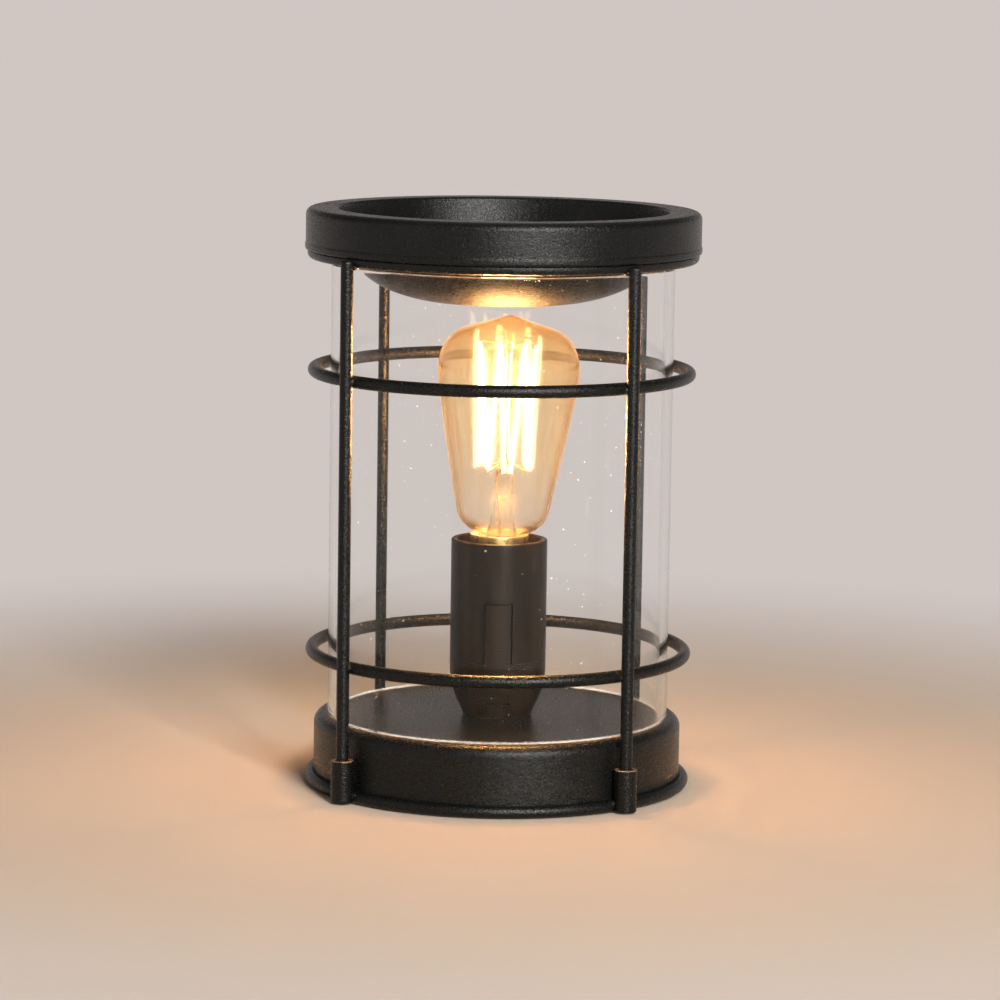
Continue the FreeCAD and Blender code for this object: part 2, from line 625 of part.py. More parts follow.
def make_lampholder_inside():
    """Insert with the screw shell, centre contact, terminals and their screws."""
    insert_top_z = insert_bottom_z + INSERT_HEIGHT
    pocket_r = screw_shell_outer_r + FIT
    insert = cylinder(spigot_r, insert_bottom_z, insert_top_z)
    insert = insert.cut(cylinder(pocket_r, insert_floor_z, insert_top_z))
    insert = insert.cut(cylinder(pocket_r, insert_bottom_z, terminal_top_z))
    half_width = CONTACT_WIDTH / 2
    slots = []
    for outer_x in (shell_tab_out_r, -(CENTRE_TAB_OUT_R - CONTACT_STRIP)):
        slots.append(block(
            (outer_x - CONTACT_STRIP - FIT, -half_width - FIT, terminal_top_z),
            (outer_x + FIT, half_width + FIT, insert_floor_z),
        ))
    keep("lampholder_insert", insert.cut(slots))

    shell_top_z = insert_floor_z + SCREW_SHELL_HEIGHT
    shell = tube(screw_shell_r + SCREW_SHELL_WALL, screw_shell_r, insert_floor_z, shell_top_z)
    ribs = int(SCREW_SHELL_HEIGHT / CAP_PITCH)
    for k in range(ribs):
        rib_z = insert_floor_z + CAP_PITCH * (k + 0.5)
        wall_r = screw_shell_r + SCREW_SHELL_WALL
        rib = turned(profile(
            (wall_r - SCREW_SHELL_RIB, rib_z - SCREW_SHELL_RIB),
            (wall_r, rib_z - SCREW_SHELL_RIB),
            (wall_r + SCREW_SHELL_RIB, rib_z),
            (wall_r, rib_z + SCREW_SHELL_RIB),
            (wall_r - SCREW_SHELL_RIB, rib_z + SCREW_SHELL_RIB),
        ))
        shell = shell.fuse(rib)
    tab = block(
        (shell_tab_out_r - CONTACT_STRIP, -half_width, terminal_top_z - TERMINAL_HEIGHT),
        (shell_tab_out_r, half_width, insert_floor_z + CONTACT_STRIP),
    )
    tab = tab.cut(cylinder(screw_shell_r, insert_floor_z, shell_top_z))
    keep("lampholder_screw_shell", shell.fuse(tab))

    tip_half = CONTACT_TIP_LENGTH / 2
    foot_x = -CENTRE_TAB_OUT_R
    rise = CONTACT_RISE
    side_points = [
        Vector(foot_x, -half_width, terminal_top_z - TERMINAL_HEIGHT),
        Vector(foot_x, -half_width, insert_floor_z + CONTACT_STRIP / 2),
        Vector(-tip_half, -half_width, insert_floor_z + rise),
        Vector(tip_half, -half_width, insert_floor_z + rise),
        Vector(tip_half, -half_width, insert_floor_z + rise - CONTACT_STRIP),
        Vector(-tip_half, -half_width, insert_floor_z + rise - CONTACT_STRIP),
        Vector(foot_x + CONTACT_STRIP, -half_width, insert_floor_z),
        Vector(foot_x + CONTACT_STRIP, -half_width, terminal_top_z - TERMINAL_HEIGHT),
    ]
    strip = Part.Face(Part.makePolygon(side_points + side_points[:1]))
    keep("lampholder_centre_contact", strip.extrude(Vector(0, CONTACT_WIDTH, 0)))

    terminals = []
    screws = []
    terminal_bottom_z = terminal_top_z - TERMINAL_HEIGHT
    middle_z = (terminal_top_z + terminal_bottom_z) / 2
    front_y = -TERMINAL_DEPTH / 2
    for x in (shell_terminal_x, centre_terminal_x):
        clamp = block(
            (x - TERMINAL_SIZE / 2, front_y, terminal_bottom_z),
            (x + TERMINAL_SIZE / 2, -front_y, terminal_top_z),
        )
        lead_hole_top = terminal_bottom_z + LEAD_IN_TERMINAL
        clamp = clamp.cut(cylinder(LEAD_D / 2 + FIT, terminal_bottom_z, lead_hole_top, Vector(x, 0, 0)))
        shank_r = TERMINAL_SCREW_R
        shank = Part.makeCylinder(
            shank_r, TERMINAL_SCREW_REACH, Vector(x, front_y, middle_z), Vector(0, 1, 0)
        )
        hole = Part.makeCylinder(
            shank_r + THREAD_FIT, TERMINAL_SCREW_REACH, Vector(x, front_y, middle_z), Vector(0, 1, 0)
        )
        head = Part.makeCylinder(
            TERMINAL_SCREW_HEAD_R, TERMINAL_SCREW_HEAD,
            Vector(x, front_y - TERMINAL_SCREW_HEAD, middle_z), Vector(0, 1, 0),
        )
        terminals.append(clamp.cut(hole))
        screws.append(head.fuse(shank))
    group("lampholder_terminals", terminals)
    group("lampholder_terminal_screws", screws)


def make_wiring():
    """Terminal block under the drum's top, its screws, and the two leads to the lampholder."""
    bottom_z = drum_ceiling_z - BLOCK_HEIGHT
    body = block(
        (-BLOCK_WIDTH / 2, block_front_y, bottom_z),
        (BLOCK_WIDTH / 2, block_front_y + BLOCK_DEPTH, drum_ceiling_z),
    )
    screws = []
    for side in (-1, 1):
        x = side * POLE_SPACING / 2
        start = Vector(x, block_front_y, lead_z)
        body = body.cut(Part.makeCylinder(BLOCK_HOLE_R, BLOCK_DEPTH, start, Vector(0, 1, 0)))
        for share in (0.25, 0.75):
            place = Vector(x, block_front_y + BLOCK_DEPTH * share, 0)
            screw_top = bottom_z + BLOCK_SCREW_LENGTH
            body = body.cut(cylinder(BLOCK_SCREW_R + THREAD_FIT, bottom_z, screw_top, place))
            screws.append(cylinder(BLOCK_SCREW_R, bottom_z, screw_top, place))
    keep("terminal_block", body)
    group("terminal_block_screws", screws)
    terminal_bottom_z = terminal_top_z - TERMINAL_HEIGHT
    run = block_front_y / 3
    rise = terminal_bottom_z - DRUM_TOP_Z
    for name, side, terminal_x in (
        ("lead_live", -1, centre_terminal_x), ("lead_neutral", 1, shell_terminal_x)
    ):
        inner_x = side * LEAD_HALF_SPACING
        block_x = side * POLE_SPACING / 2
        route = [
            Vector(block_x, block_front_y + BLOCK_DEPTH / 2, lead_z),
            Vector(block_x, block_front_y - run / 2, lead_z),
            Vector(inner_x, block_front_y - 2 * run, lead_z),
            Vector(inner_x, 0, lead_z),
            Vector(inner_x, 0, DRUM_TOP_Z + HOLDER_FLOOR + rise * 0.05),
            Vector(terminal_x, 0, terminal_bottom_z - rise * 0.3),
            Vector(terminal_x, 0, terminal_bottom_z + LEAD_IN_TERMINAL),
        ]
        keep(name, bent_tube(route, LEAD_D / 2, LEAD_BEND_R))


def make_bulb_cap():
    """Brass screw cap with rolled thread ribs, its black glass insulator and centre contact."""
    rim_z = cap_rim_z
    shell_bottom_z = bulb_contact_z + CAP_SHELL_BOTTOM
    thread_z = bulb_contact_z + CAP_THREAD_BOTTOM
    skirt_z = rim_z - CAP_SKIRT_HEIGHT
    outer = [(0, shell_bottom_z), (INSULATOR_R, shell_bottom_z), (CAP_ROOT_R, thread_z)]
    for k in range(CAP_TURNS):
        base_z = thread_z + CAP_PITCH * k
        outer += [(CAP_CREST_R, base_z + CAP_PITCH / 2), (CAP_ROOT_R, base_z + CAP_PITCH)]
    outer += [
        (CAP_ROOT_R, skirt_z - CAP_PITCH / 2), (CAP_SKIRT_R, skirt_z), (CAP_SKIRT_R, rim_z), (0, rim_z)
    ]
    cap = turned(profile(*outer))
    bore_r = CAP_ROOT_R - CAP_WALL
    skirt_bore_r = CAP_SKIRT_R - CAP_WALL
    hollow = turned(profile(
        (0, shell_bottom_z), (INSULATOR_R - CAP_WALL, shell_bottom_z), (bore_r, thread_z),
        (bore_r, skirt_z - CAP_PITCH / 2), (skirt_bore_r, skirt_z + CAP_WALL),
        (skirt_bore_r, rim_z), (0, rim_z),
    ))
    keep("bulb_cap", cap.cut(hollow))
    contact_top_z = bulb_contact_z + CONTACT_HEIGHT
    insulator = turned(profile(
        (0, contact_top_z), (CONTACT_R, contact_top_z),
        (INSULATOR_R, shell_bottom_z), (0, shell_bottom_z),
    ))
    lead_r = MOUNT_WIRE_R + THREAD_FIT
    keep("bulb_insulator", insulator.cut(cylinder(lead_r, contact_top_z, shell_bottom_z)))
    contact = cylinder(CONTACT_R, bulb_contact_z, contact_top_z)
    keep("bulb_contact", round_edges(contact, CONTACT_HEIGHT / 3, circles_at(bulb_contact_z)))


def envelope_solid(inset):
    """Solid teardrop, from the neck's lower end up to the crown, drawn in by an inset."""
    rim = cap_rim_z
    neck_r = BULB_NECK_R - inset
    neck_z = rim - BULB_NECK_IN_CAP
    widest = Vector(BULB_R - inset, 0, rim + BULB_WIDEST_Z)
    points = [Vector(neck_r, 0, rim)]
    for r_share, z_share in BULB_SIDE:
        points.append(Vector(BULB_R * r_share - inset, 0, rim + BULB_WIDEST_Z * z_share))
    points.append(widest)
    flags = [False] * (len(points) - 1) + [True]
    side = Part.BSplineCurve()
    side.interpolate(Points=points, Tangents=[UP] * len(points), TangentFlags=flags, Scale=False)
    # The crown's arc is tangent to the shoulder's and level at the top
    shoulder_r = BULB_SHOULDER_R - inset
    reach = widest.x - shoulder_r
    spare = BULB_CROWN - inset - shoulder_r
    drop = (reach ** 2 - spare ** 2) / (2 * spare)
    crown_r = shoulder_r + math.hypot(reach, drop)
    turn = math.degrees(math.atan2(drop, reach))
    edges = [
        line((0, neck_z), (neck_r, neck_z)),
        line((neck_r, neck_z), (neck_r, rim)),
        side.toShape(),
        arc((reach, widest.z), shoulder_r, 0, turn),
        arc((0, widest.z - drop), crown_r, turn, 90),
        line((0, rim + bulb_height - inset), (0, neck_z)),
    ]
    return turned(edges)


def stem_solid():
    """Flared tube, pinch and centre rod with two buttons."""
    rim = cap_rim_z
    flare_bottom = rim - BULB_NECK_IN_CAP
    neck_bore_r = BULB_NECK_R - BULB_WALL
    stem = turned(profile(
        (0, flare_bottom), (neck_bore_r, flare_bottom), (neck_bore_r, flare_bottom + BULB_WALL),
        (STEM_FLARE_R - BULB_WALL, flare_bottom + 2 * BULB_WALL),
        (STEM_TUBE_R + BULB_WALL, rim + STEM_FLARE_TOP / 2),
        (STEM_TUBE_R, rim + STEM_FLARE_TOP), (STEM_TUBE_R, rim + STEM_TUBE_TOP),
        (STEM_ROD_R, rim + STEM_TUBE_TOP + STEM_ROD_R), (0, rim + STEM_TUBE_TOP + STEM_ROD_R),
    ))
    stem = stem.cut(turned(profile(
        (0, flare_bottom), (STEM_FLARE_R - 2 * BULB_WALL, flare_bottom),
        (STEM_TUBE_R - BULB_WALL, rim + STEM_FLARE_TOP - BULB_WALL),
        (0, rim + STEM_FLARE_TOP - BULB_WALL),
    )))
    stem = stem.fuse(cylinder(STEM_ROD_R, rim + STEM_TUBE_TOP, rim + upper_button_z))
    for z in (lower_button_z, upper_button_z):
        button = cylinder(STEM_BUTTON_R, rim + z, rim + z + STEM_BUTTON_HEIGHT)
        button = round_edges(button, STEM_BUTTON_R / 3, circles_at(rim + z + STEM_BUTTON_HEIGHT))
        stem = stem.fuse(button)
    return stem


def filament_points():
    """Corners of the squirrel-cage filament, up and down in turn round the stem."""
    corners = []
    steps = 2 * FILAMENT_LOOPS - 1
    for k in range(steps + 1):
        angle = -90 + 360.0 * (k + 0.5) / (steps + 1)
        if k % 2:
            corners.append(polar(FILAMENT_UPPER_R, angle, cap_rim_z + filament_upper_z))
        else:
            corners.append(polar(FILAMENT_LOWER_R, angle, cap_rim_z + filament_lower_z))
    corners.append(polar(FILAMENT_LOWER_R, -90 - 1.0, cap_rim_z + filament_lower_z))
    return corners


def make_bulb():
    """Envelope, cement, stem, wires and filament, all leaning together in the cap."""
    rim = cap_rim_z
    whole = envelope_solid(0)
    keep("bulb_glass", lean(whole.cut(envelope_solid(BULB_WALL))))
    bore_r = CAP_SKIRT_R - CAP_WALL
    cement = cylinder(bore_r, rim - BULB_NECK_IN_CAP + BULB_WALL, rim - CEMENT_RECESS)
    keep("bulb_cement", cement.cut(lean(whole)))

    stem = stem_solid()
    corners = filament_points()
    strands = [wire_between(a, b, FILAMENT_WIRE_R) for a, b in zip(corners, corners[1:])]
    bends = [Part.makeSphere(FILAMENT_WIRE_R, corner) for corner in corners]
    filament = strands[0].multiFuse(strands[1:] + bends)
    supports = []
    for corner in corners[:-1]:
        upper = corner.z > rim + upper_button_z
        height = (upper_button_z if upper else lower_button_z) + STEM_BUTTON_HEIGHT / 2
        start = Vector(0, 0, rim + height)
        supports.append(wire_between(start, corner, SUPPORT_WIRE_R).cut(stem).cut(filament))

    lead_top = rim + STEM_TUBE_TOP
    contact_top_z = bulb_contact_z + CONTACT_HEIGHT
    mount_wires = []
    for side, end in ((-1, corners[0]), (1, corners[-1])):
        start = Vector(side * MOUNT_WIRE_OFFSET, 0, rim + STEM_FLARE_TOP)
        wire = wire_between(start, Vector(side * MOUNT_WIRE_OFFSET, 0, lead_top), MOUNT_WIRE_R)
        upper_end = Vector(side * MOUNT_WIRE_OFFSET, 0, lead_top)
        wire = wire.fuse(wire_between(upper_end, end, MOUNT_WIRE_R))
        wire = wire.fuse(Part.makeSphere(MOUNT_WIRE_R, upper_end))
        stem = stem.cut(wire)
        mount_wires.append(wire.cut(filament))
    supports = [support.cut(mount_wires[0]).cut(mount_wires[1]) for support in supports]
    keep("bulb_stem", lean(stem))
    group("bulb_mount_wires", [lean(wire) for wire in mount_wires])
    group("filament_supports", [lean(max(s.Solids, key=lambda v: v.Volume)) for s in supports])
    keep("bulb_filament", lean(filament))
    tail = cylinder(MOUNT_WIRE_R, contact_top_z, rim + STEM_FLARE_TOP)
    keep("bulb_contact_wire", tail.cut(lean(stem)))


os.makedirs("parts", exist_ok=True)
make_dish()
make_cage()
make_glass()
make_base()
make_bottom()
make_gland()
make_nipple()
make_lampholder()
make_lampholder_inside()
make_wiring()
make_bulb_cap()
make_bulb()
print(len(made), "nodes")
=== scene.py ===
import json
import math
import random
from collections import namedtuple

import bmesh
import bpy
import numpy as np
from mathutils import Matrix, Vector


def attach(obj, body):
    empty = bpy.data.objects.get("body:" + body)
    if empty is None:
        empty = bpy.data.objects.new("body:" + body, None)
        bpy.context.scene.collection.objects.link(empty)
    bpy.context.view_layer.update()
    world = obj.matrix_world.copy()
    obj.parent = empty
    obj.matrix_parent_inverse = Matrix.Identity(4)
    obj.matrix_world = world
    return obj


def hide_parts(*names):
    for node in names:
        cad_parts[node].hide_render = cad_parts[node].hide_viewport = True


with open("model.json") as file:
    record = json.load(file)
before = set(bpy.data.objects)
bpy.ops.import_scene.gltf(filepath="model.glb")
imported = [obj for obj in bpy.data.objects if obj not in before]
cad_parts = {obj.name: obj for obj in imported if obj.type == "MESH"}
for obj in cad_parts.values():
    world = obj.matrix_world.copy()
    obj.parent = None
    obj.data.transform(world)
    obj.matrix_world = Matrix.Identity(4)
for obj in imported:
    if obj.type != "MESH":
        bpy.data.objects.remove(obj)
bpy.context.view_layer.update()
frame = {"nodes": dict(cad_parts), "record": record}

# ---------------------------------------------------------------- sizes, in millimetres
# Lengths below are in millimetres and turn into metres where a mesh is made.
MM = 0.001
Size = namedtuple("Size", "x y radius low top")


def size_of(node):
    """Centre, radius and height range of a CAD node."""
    piece = frame["nodes"][node]
    corners = [piece.matrix_world @ Vector(corner) / MM for corner in piece.bound_box]
    low = [min(c[i] for c in corners) for i in range(3)]
    high = [max(c[i] for c in corners) for i in range(3)]
    radius = max(high[0] - low[0], high[1] - low[1]) / 2
    return Size((low[0] + high[0]) / 2, (low[1] + high[1]) / 2, radius, low[2], high[2])


DISH = size_of("wax_dish")
RING = size_of("cage_top_ring")
UPPER_HOOP, LOWER_HOOP = size_of("cage_upper_hoop"), size_of("cage_lower_hoop")
FOOT_RING = size_of("foot_ring")
GLASS = size_of("glass_cylinder")
DRUM = size_of("base_drum")
GLAND = size_of("cable_gland")
SHELL, HOLDER_CAP = size_of("lampholder_shell"), size_of("lampholder_cap")
BULB_CAP = size_of("bulb_cap")
ROD_PLACES = ("front_right", "back_right", "back_left", "front_left")

SHEET = 1.2
GLASS_WALL = 2.2
WIRE_R = (UPPER_HOOP.top - UPPER_HOOP.low) / 2
SKIRT_R = DISH.radius - 0.2
HEM_WIDTH, HEM_HEIGHT = 2.0, 1.7
BOWL_R = 48.8
BOWL_FLAT_R = 16.0
BOWL_BELOW_RIM = 4.3
BOWL_WALL_LEAN = math.radians(9)
BOWL_SHALLOW_R = 45.0
RING_INNER_R = 47.6
SLEEVE_R, SLEEVE_GAP, SLEEVE_FLOOR = 3.2, 0.3, 1.2
NIPPLE_HOLE_R = 5.1
GLAND_HOLE_R = 5.1
HOLDER_FOOT_R = 9.8
HOLDER_BORE_R = 12.3
FILAMENT_R = 0.50
RIM_Z = BULB_CAP.top
PITCH = 2.82
# The bulb leans by a little about a point inside its cap.
LEAN_Z = BULB_CAP.top - 20.0
LEAN = math.radians(1.7)
LEANED = (
    Matrix.Translation((0, 0, LEAN_Z)) @ Matrix.Rotation(LEAN, 4, "Y")
    @ Matrix.Translation((0, 0, -LEAN_Z))
)


# ---------------------------------------------------------------- mesh helpers
def place(name, mesh, body, slot, stands_for=(), sharp=38, finish=None):
    """An object for a mesh, with its finish, riding on a body."""
    mesh.polygons.foreach_set("use_smooth", [True] * len(mesh.polygons))
    mesh.set_sharp_from_angle(angle=math.radians(sharp))
    piece = bpy.data.objects.new(name, mesh)
    bpy.context.scene.collection.objects.link(piece)
    mesh.materials.append(finishes[finish or slot])
    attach(piece, body)
    if stands_for:
        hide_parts(*stands_for)
    return piece


def mesh_of(name, verts, faces):
    """Mesh in metres from millimetres, with shared points merged and its faces turned outward."""
    mesh = bpy.data.meshes.new(name)
    mesh.from_pydata([tuple(c * MM for c in v) for v in verts], [], faces)
    work = bmesh.new()
    work.from_mesh(mesh)
    bmesh.ops.remove_doubles(work, verts=work.verts, dist=1e-7)
    bmesh.ops.recalc_face_normals(work, faces=work.faces)
    work.to_mesh(mesh)
    work.free()
    return mesh


def rounded(corners, steps=6, closed=True):
    """Profile through (r, z, fillet radius) corners, with an arc at each corner that has a radius."""
    out = []
    count = len(corners)
    for i, (r, z, fillet) in enumerate(corners):
        here = Vector((r, z))
        if not fillet or (not closed and i in (0, count - 1)):
            out.append((r, z))
            continue
        before = (Vector(corners[i - 1][:2]) - here).normalized()
        after = (Vector(corners[(i + 1) % count][:2]) - here).normalized()
        half = before.angle(after) / 2
        start = here + before * fillet / math.tan(half)
        end = here + after * fillet / math.tan(half)
        centre = here + (before + after).normalized() * (fillet / math.sin(half))
        first = math.atan2(start.y - centre.y, start.x - centre.x)
        turn = math.atan2(end.y - centre.y, end.x - centre.x) - first
        turn = (turn + math.pi) % (2 * math.pi) - math.pi
        for k in range(steps + 1):
            a = first + turn * k / steps
            out.append((centre.x + fillet * math.cos(a), centre.y + fillet * math.sin(a)))
    return out


def held_straight(profile, closed, guard=0.3):
    """The profile with a point near each end of its long runs, so that they shade as straight."""
    out = []
    for here, ahead in zip(profile, profile[1:] + profile[:1]):
        out.append(here)
        length = math.dist(here, ahead)
        if length > 8 * guard:
            for share in (guard / length, 1 - guard / length):
                out.append(tuple(a + (b - a) * share for a, b in zip(here, ahead)))
    return out if closed else out[: out.index(profile[-1]) + 1]


def turned(profile, segments=256, closed=True):
    """Vertices and faces of a profile turned about +Z; points on the axis are shared."""
    verts, rings = [], []
    for r, z in held_straight(profile, closed):
        if abs(r) < 1e-6:
            rings.append([len(verts)] * segments)
            verts.append((0.0, 0.0, z))
            continue
        rings.append(list(range(len(verts), len(verts) + segments)))
        for k in range(segments):
            a = 2 * math.pi * k / segments
            verts.append((r * math.cos(a), r * math.sin(a), z))
    pairs = list(zip(rings, rings[1:]))
    if closed:
        pairs.append((rings[-1], rings[0]))
    faces = []
    for low, high in pairs:
        if low[0] == low[1] and high[0] == high[1]:
            continue
        for k in range(segments):
            n = (k + 1) % segments
            corners = (low[k], low[n], high[n], high[k])
            faces.append(list(dict.fromkeys(corners)))
    return verts, faces


def lathe(name, profile, body, slot, stands_for=(), segments=256, closed=True, matrix=None, **more):
    """A turned piece, moved by a matrix where one is given."""
    verts, faces = turned(profile, segments, closed)
    if matrix is not None:
        verts = [tuple(matrix @ Vector(v)) for v in verts]
    return place(name, mesh_of(name, verts, faces), body, slot, stands_for, **more)


def circle(radius, centre_r, centre_z, steps=28):
    """Round profile of a wire that runs round the axis."""
    angles = [2 * math.pi * k / steps for k in range(steps)]
    return [(centre_r + radius * math.cos(a), centre_z + radius * math.sin(a)) for a in angles]


def wire(points, radius, sides=12):
    """Vertices and faces of a round wire along points, with flat ends."""
    count = len(points)
    verts, faces = [], []
    normal = None
    for i, p in enumerate(points):
        ahead = (points[min(i + 1, count - 1)] - points[max(i - 1, 0)]).normalized()
        if normal is None:
            side = Vector((0, 0, 1)) if abs(ahead.z) < 0.9 else Vector((1, 0, 0))
            normal = ahead.cross(side).normalized()
        normal = (normal - ahead * normal.dot(ahead)).normalized()
        across = ahead.cross(normal)
        for k in range(sides):
            a = 2 * math.pi * k / sides
            verts.append(tuple(p + (normal * math.cos(a) + across * math.sin(a)) * radius))
    for i in range(count - 1):
        for k in range(sides):
            n = (k + 1) % sides
            faces.append([i * sides + k, i * sides + n, (i + 1) * sides + n, (i + 1) * sides + k])
    faces.append(list(range(sides))[::-1])
    faces.append([(count - 1) * sides + k for k in range(sides)])
    return verts, faces


def joined(parts):
    """Vertices and faces of several shapes as one."""
    verts, faces = [], []
    for part_verts, part_faces in parts:
        base = len(verts)
        verts += part_verts
        faces += [[i + base for i in face] for face in part_faces]
    return verts, faces


def spline(points, end_slopes=(None, None), steps=8):
    """Smooth curve through 2-D points, with the end directions that are given."""
    p = np.array(points, float)
    h = np.hypot(*np.diff(p, axis=0).T)
    n = len(p)
    a = np.zeros((n, n))
    b = np.zeros((n, 2))
    for i in range(1, n - 1):
        a[i, i - 1 : i + 2] = h[i], 2 * (h[i - 1] + h[i]), h[i - 1]
        b[i] = 3 * (h[i - 1] * (p[i + 1] - p[i]) / h[i] + h[i] * (p[i] - p[i - 1]) / h[i - 1])
    for i, near, step, slope in ((0, 1, h[0], end_slopes[0]), (n - 1, n - 2, h[-1], end_slopes[1])):
        if slope:
            a[i, i] = 1
            b[i] = slope
        else:
            a[i, i], a[i, near] = 2, 1
            b[i] = 3 * (p[max(i, near)] - p[min(i, near)]) / step
    m = np.linalg.solve(a, b)
    out = []
    for i in range(n - 1):
        for k in range(steps):
            t = k / steps
            from_p = (2 * t**3 - 3 * t**2 + 1) * p[i] + (3 * t**2 - 2 * t**3) * p[i + 1]
            from_m = (t**3 - 2 * t**2 + t) * m[i] + (t**3 - t**2) * m[i + 1]
            out.append(tuple(from_p + h[i] * from_m))
    out.append(tuple(p[-1]))
    return out


def bead(centre, size, seed):
    """Small uneven lump of weld metal."""
    work = bmesh.new()
    bmesh.ops.create_icosphere(work, subdivisions=3, radius=1.0)
    dice = random.Random(seed)
    phase = [dice.uniform(0, 6.28) for _ in range(4)]
    for v in work.verts:
        c = v.co
        wave = 1 + 0.09 * math.sin(3.1 * c.x + phase[0]) * math.sin(2.7 * c.y + phase[1])
        wave += 0.07 * math.sin(5.3 * c.z + phase[2]) * math.sin(4.1 * c.x + phase[3])
        v.co = Vector((c.x * size[0], c.y * size[1], c.z * size[2])) * wave
    verts = [tuple(v.co + Vector(centre)) for v in work.verts]
    faces = [[v.index for v in f.verts] for f in work.faces]
    work.free()
    return verts, faces


def polar(radius, degrees, z=0.0):
    a = math.radians(degrees)
    return (radius * math.cos(a), radius * math.sin(a), z)


def cut(piece, verts, faces):
    """Take a closed shape out of a piece's mesh."""
    cutter = bpy.data.objects.new("cutter", mesh_of("cutter", verts, faces))
    bpy.context.scene.collection.objects.link(cutter)
    hole = piece.modifiers.new("hole", "BOOLEAN")
    hole.operation = "DIFFERENCE"
    hole.solver = "EXACT"
    hole.object = cutter
    sight = bpy.context.evaluated_depsgraph_get()
    piece.data = bpy.data.meshes.new_from_object(piece.evaluated_get(sight))
    piece.modifiers.clear()
    bpy.data.objects.remove(cutter)


# ---------------------------------------------------------------- material helpers
class Net:
    """Short hand for building one material's nodes."""

    def __init__(self, name):
        self.material = bpy.data.materials.new(name)
        self.material.use_nodes = True
        self.tree = self.material.node_tree
        self.tree.nodes.clear()
        self.out = self.tree.nodes.new("ShaderNodeOutputMaterial")
        self.object = self.tree.nodes.new("ShaderNodeTexCoord").outputs["Object"]

    def node(self, kind, **values):
        made = self.tree.nodes.new(kind)
        for key, value in values.items():
            self.put(made, key, value)
        return made

    def put(self, node, key, value):
        """Set a property, or a socket by its name or, as _0, by its number."""
        if hasattr(node, key) and key not in node.inputs:
            setattr(node, key, value)
            return
        socket = node.inputs[int(key[1:])] if key[0] == "_" else node.inputs[key.replace("_", " ")]
        if isinstance(value, bpy.types.NodeSocket):
            self.tree.links.new(value, socket)
        else:
            socket.default_value = value

    def noise(self, scale, detail=3.0, rough=0.5, stretch=None):
        vector = self.object
        if stretch:
            vector = self.node("ShaderNodeMapping", Vector=vector, Scale=stretch).outputs[0]
        kind = "ShaderNodeTexNoise"
        return self.node(kind, Vector=vector, Scale=scale, Detail=detail, Roughness=rough).outputs["Fac"]

    def height(self):
        """Height above the floor, in metres."""
        return self.node("ShaderNodeSeparateXYZ", _0=self.object).outputs[2]

    def span(self, value, low, high, to_low=0.0, to_high=1.0):
        made = self.node("ShaderNodeMapRange", Value=value)
        made.inputs["From Min"].default_value = low
        made.inputs["From Max"].default_value = high
        made.inputs["To Min"].default_value = to_low
        made.inputs["To Max"].default_value = to_high
        return made.outputs[0]

    def smooth(self, value, low, high):
        """0 to 1 over a span, with soft ends."""
        made = self.node("ShaderNodeMapRange", interpolation_type="SMOOTHSTEP", Value=value)
        made.inputs["From Min"].default_value = low
        made.inputs["From Max"].default_value = high
        return made.outputs[0]

    def math(self, operation, a, b):
        return self.node("ShaderNodeMath", operation=operation, _0=a, _1=b).outputs[0]

    def add(self, a, b):
        return self.math("ADD", a, b)

    def times(self, a, b):
        return self.math("MULTIPLY", a, b)

    def blend(self, factor, a, b):
        return self.node("ShaderNodeMix", data_type="RGBA", _0=factor, _6=a, _7=b).outputs[2]

    def bump(self, height, strength, distance):
        made = self.node("ShaderNodeBump", Height=height, Strength=strength, Distance=distance)
        return made.outputs[0]

    def principled(self, colour, rough, normal, **more):
        kind = "ShaderNodeBsdfPrincipled"
        return self.node(kind, Base_Color=colour, Roughness=rough, Normal=normal, **more).outputs[0]

    def mix(self, factor, a, b):
        return self.node("ShaderNodeMixShader", _0=factor, _1=a, _2=b).outputs[0]

    def diffuse(self, colour):
        return self.node("ShaderNodeBsdfDiffuse", Color=colour).outputs[0]

    def done(self, surface):
        self.tree.links.new(surface, self.out.inputs["Surface"])
        return self.material


# Cells per metre of the coat's fine grain and of its lumps, and its bump, depth in metres and gloss
COAT_GRAIN, COAT_LUMPS = 4200, 2100
COAT_BUMP, COAT_DEPTH, COAT_GLOSS = 0.90, 0.00012, 0.22
WORN_WIDTH = 0.9


def coat(net):
    """Grain, lumps, near-black colour and roughness of the powder coat."""
    grain = net.noise(COAT_GRAIN, 1.0, 0.5)
    lumps = net.noise(COAT_LUMPS, 1.0, 0.5)
    share = net.span(grain, 0.35, 0.7)
    colour = net.blend(share, (0.0010, 0.0011, 0.0010, 1), (0.0070, 0.0075, 0.0068, 1))
    return grain, lumps, colour, net.span(lumps, 0.3, 0.7, 0.21, 0.36)


def powder_coat():
    """The coat with a thin, uneven film of dust."""
    net = Net("black_powder_coat")
    grain, lumps, black, rough = coat(net)
    cloud = net.noise(55, 4.0, 0.6)
    dusty = net.times(net.span(cloud, 0.52, 0.8), net.span(lumps, 0.45, 0.75))
    colour = net.blend(net.times(dusty, 0.28), black, (0.045, 0.043, 0.039, 1))
    rough = net.add(rough, net.times(dusty, 0.15))
    normal = net.bump(net.add(net.times(grain, 0.5), lumps), COAT_BUMP, COAT_DEPTH)
    return net.done(net.principled(colour, rough, normal, Specular_IOR_Level=COAT_GLOSS))


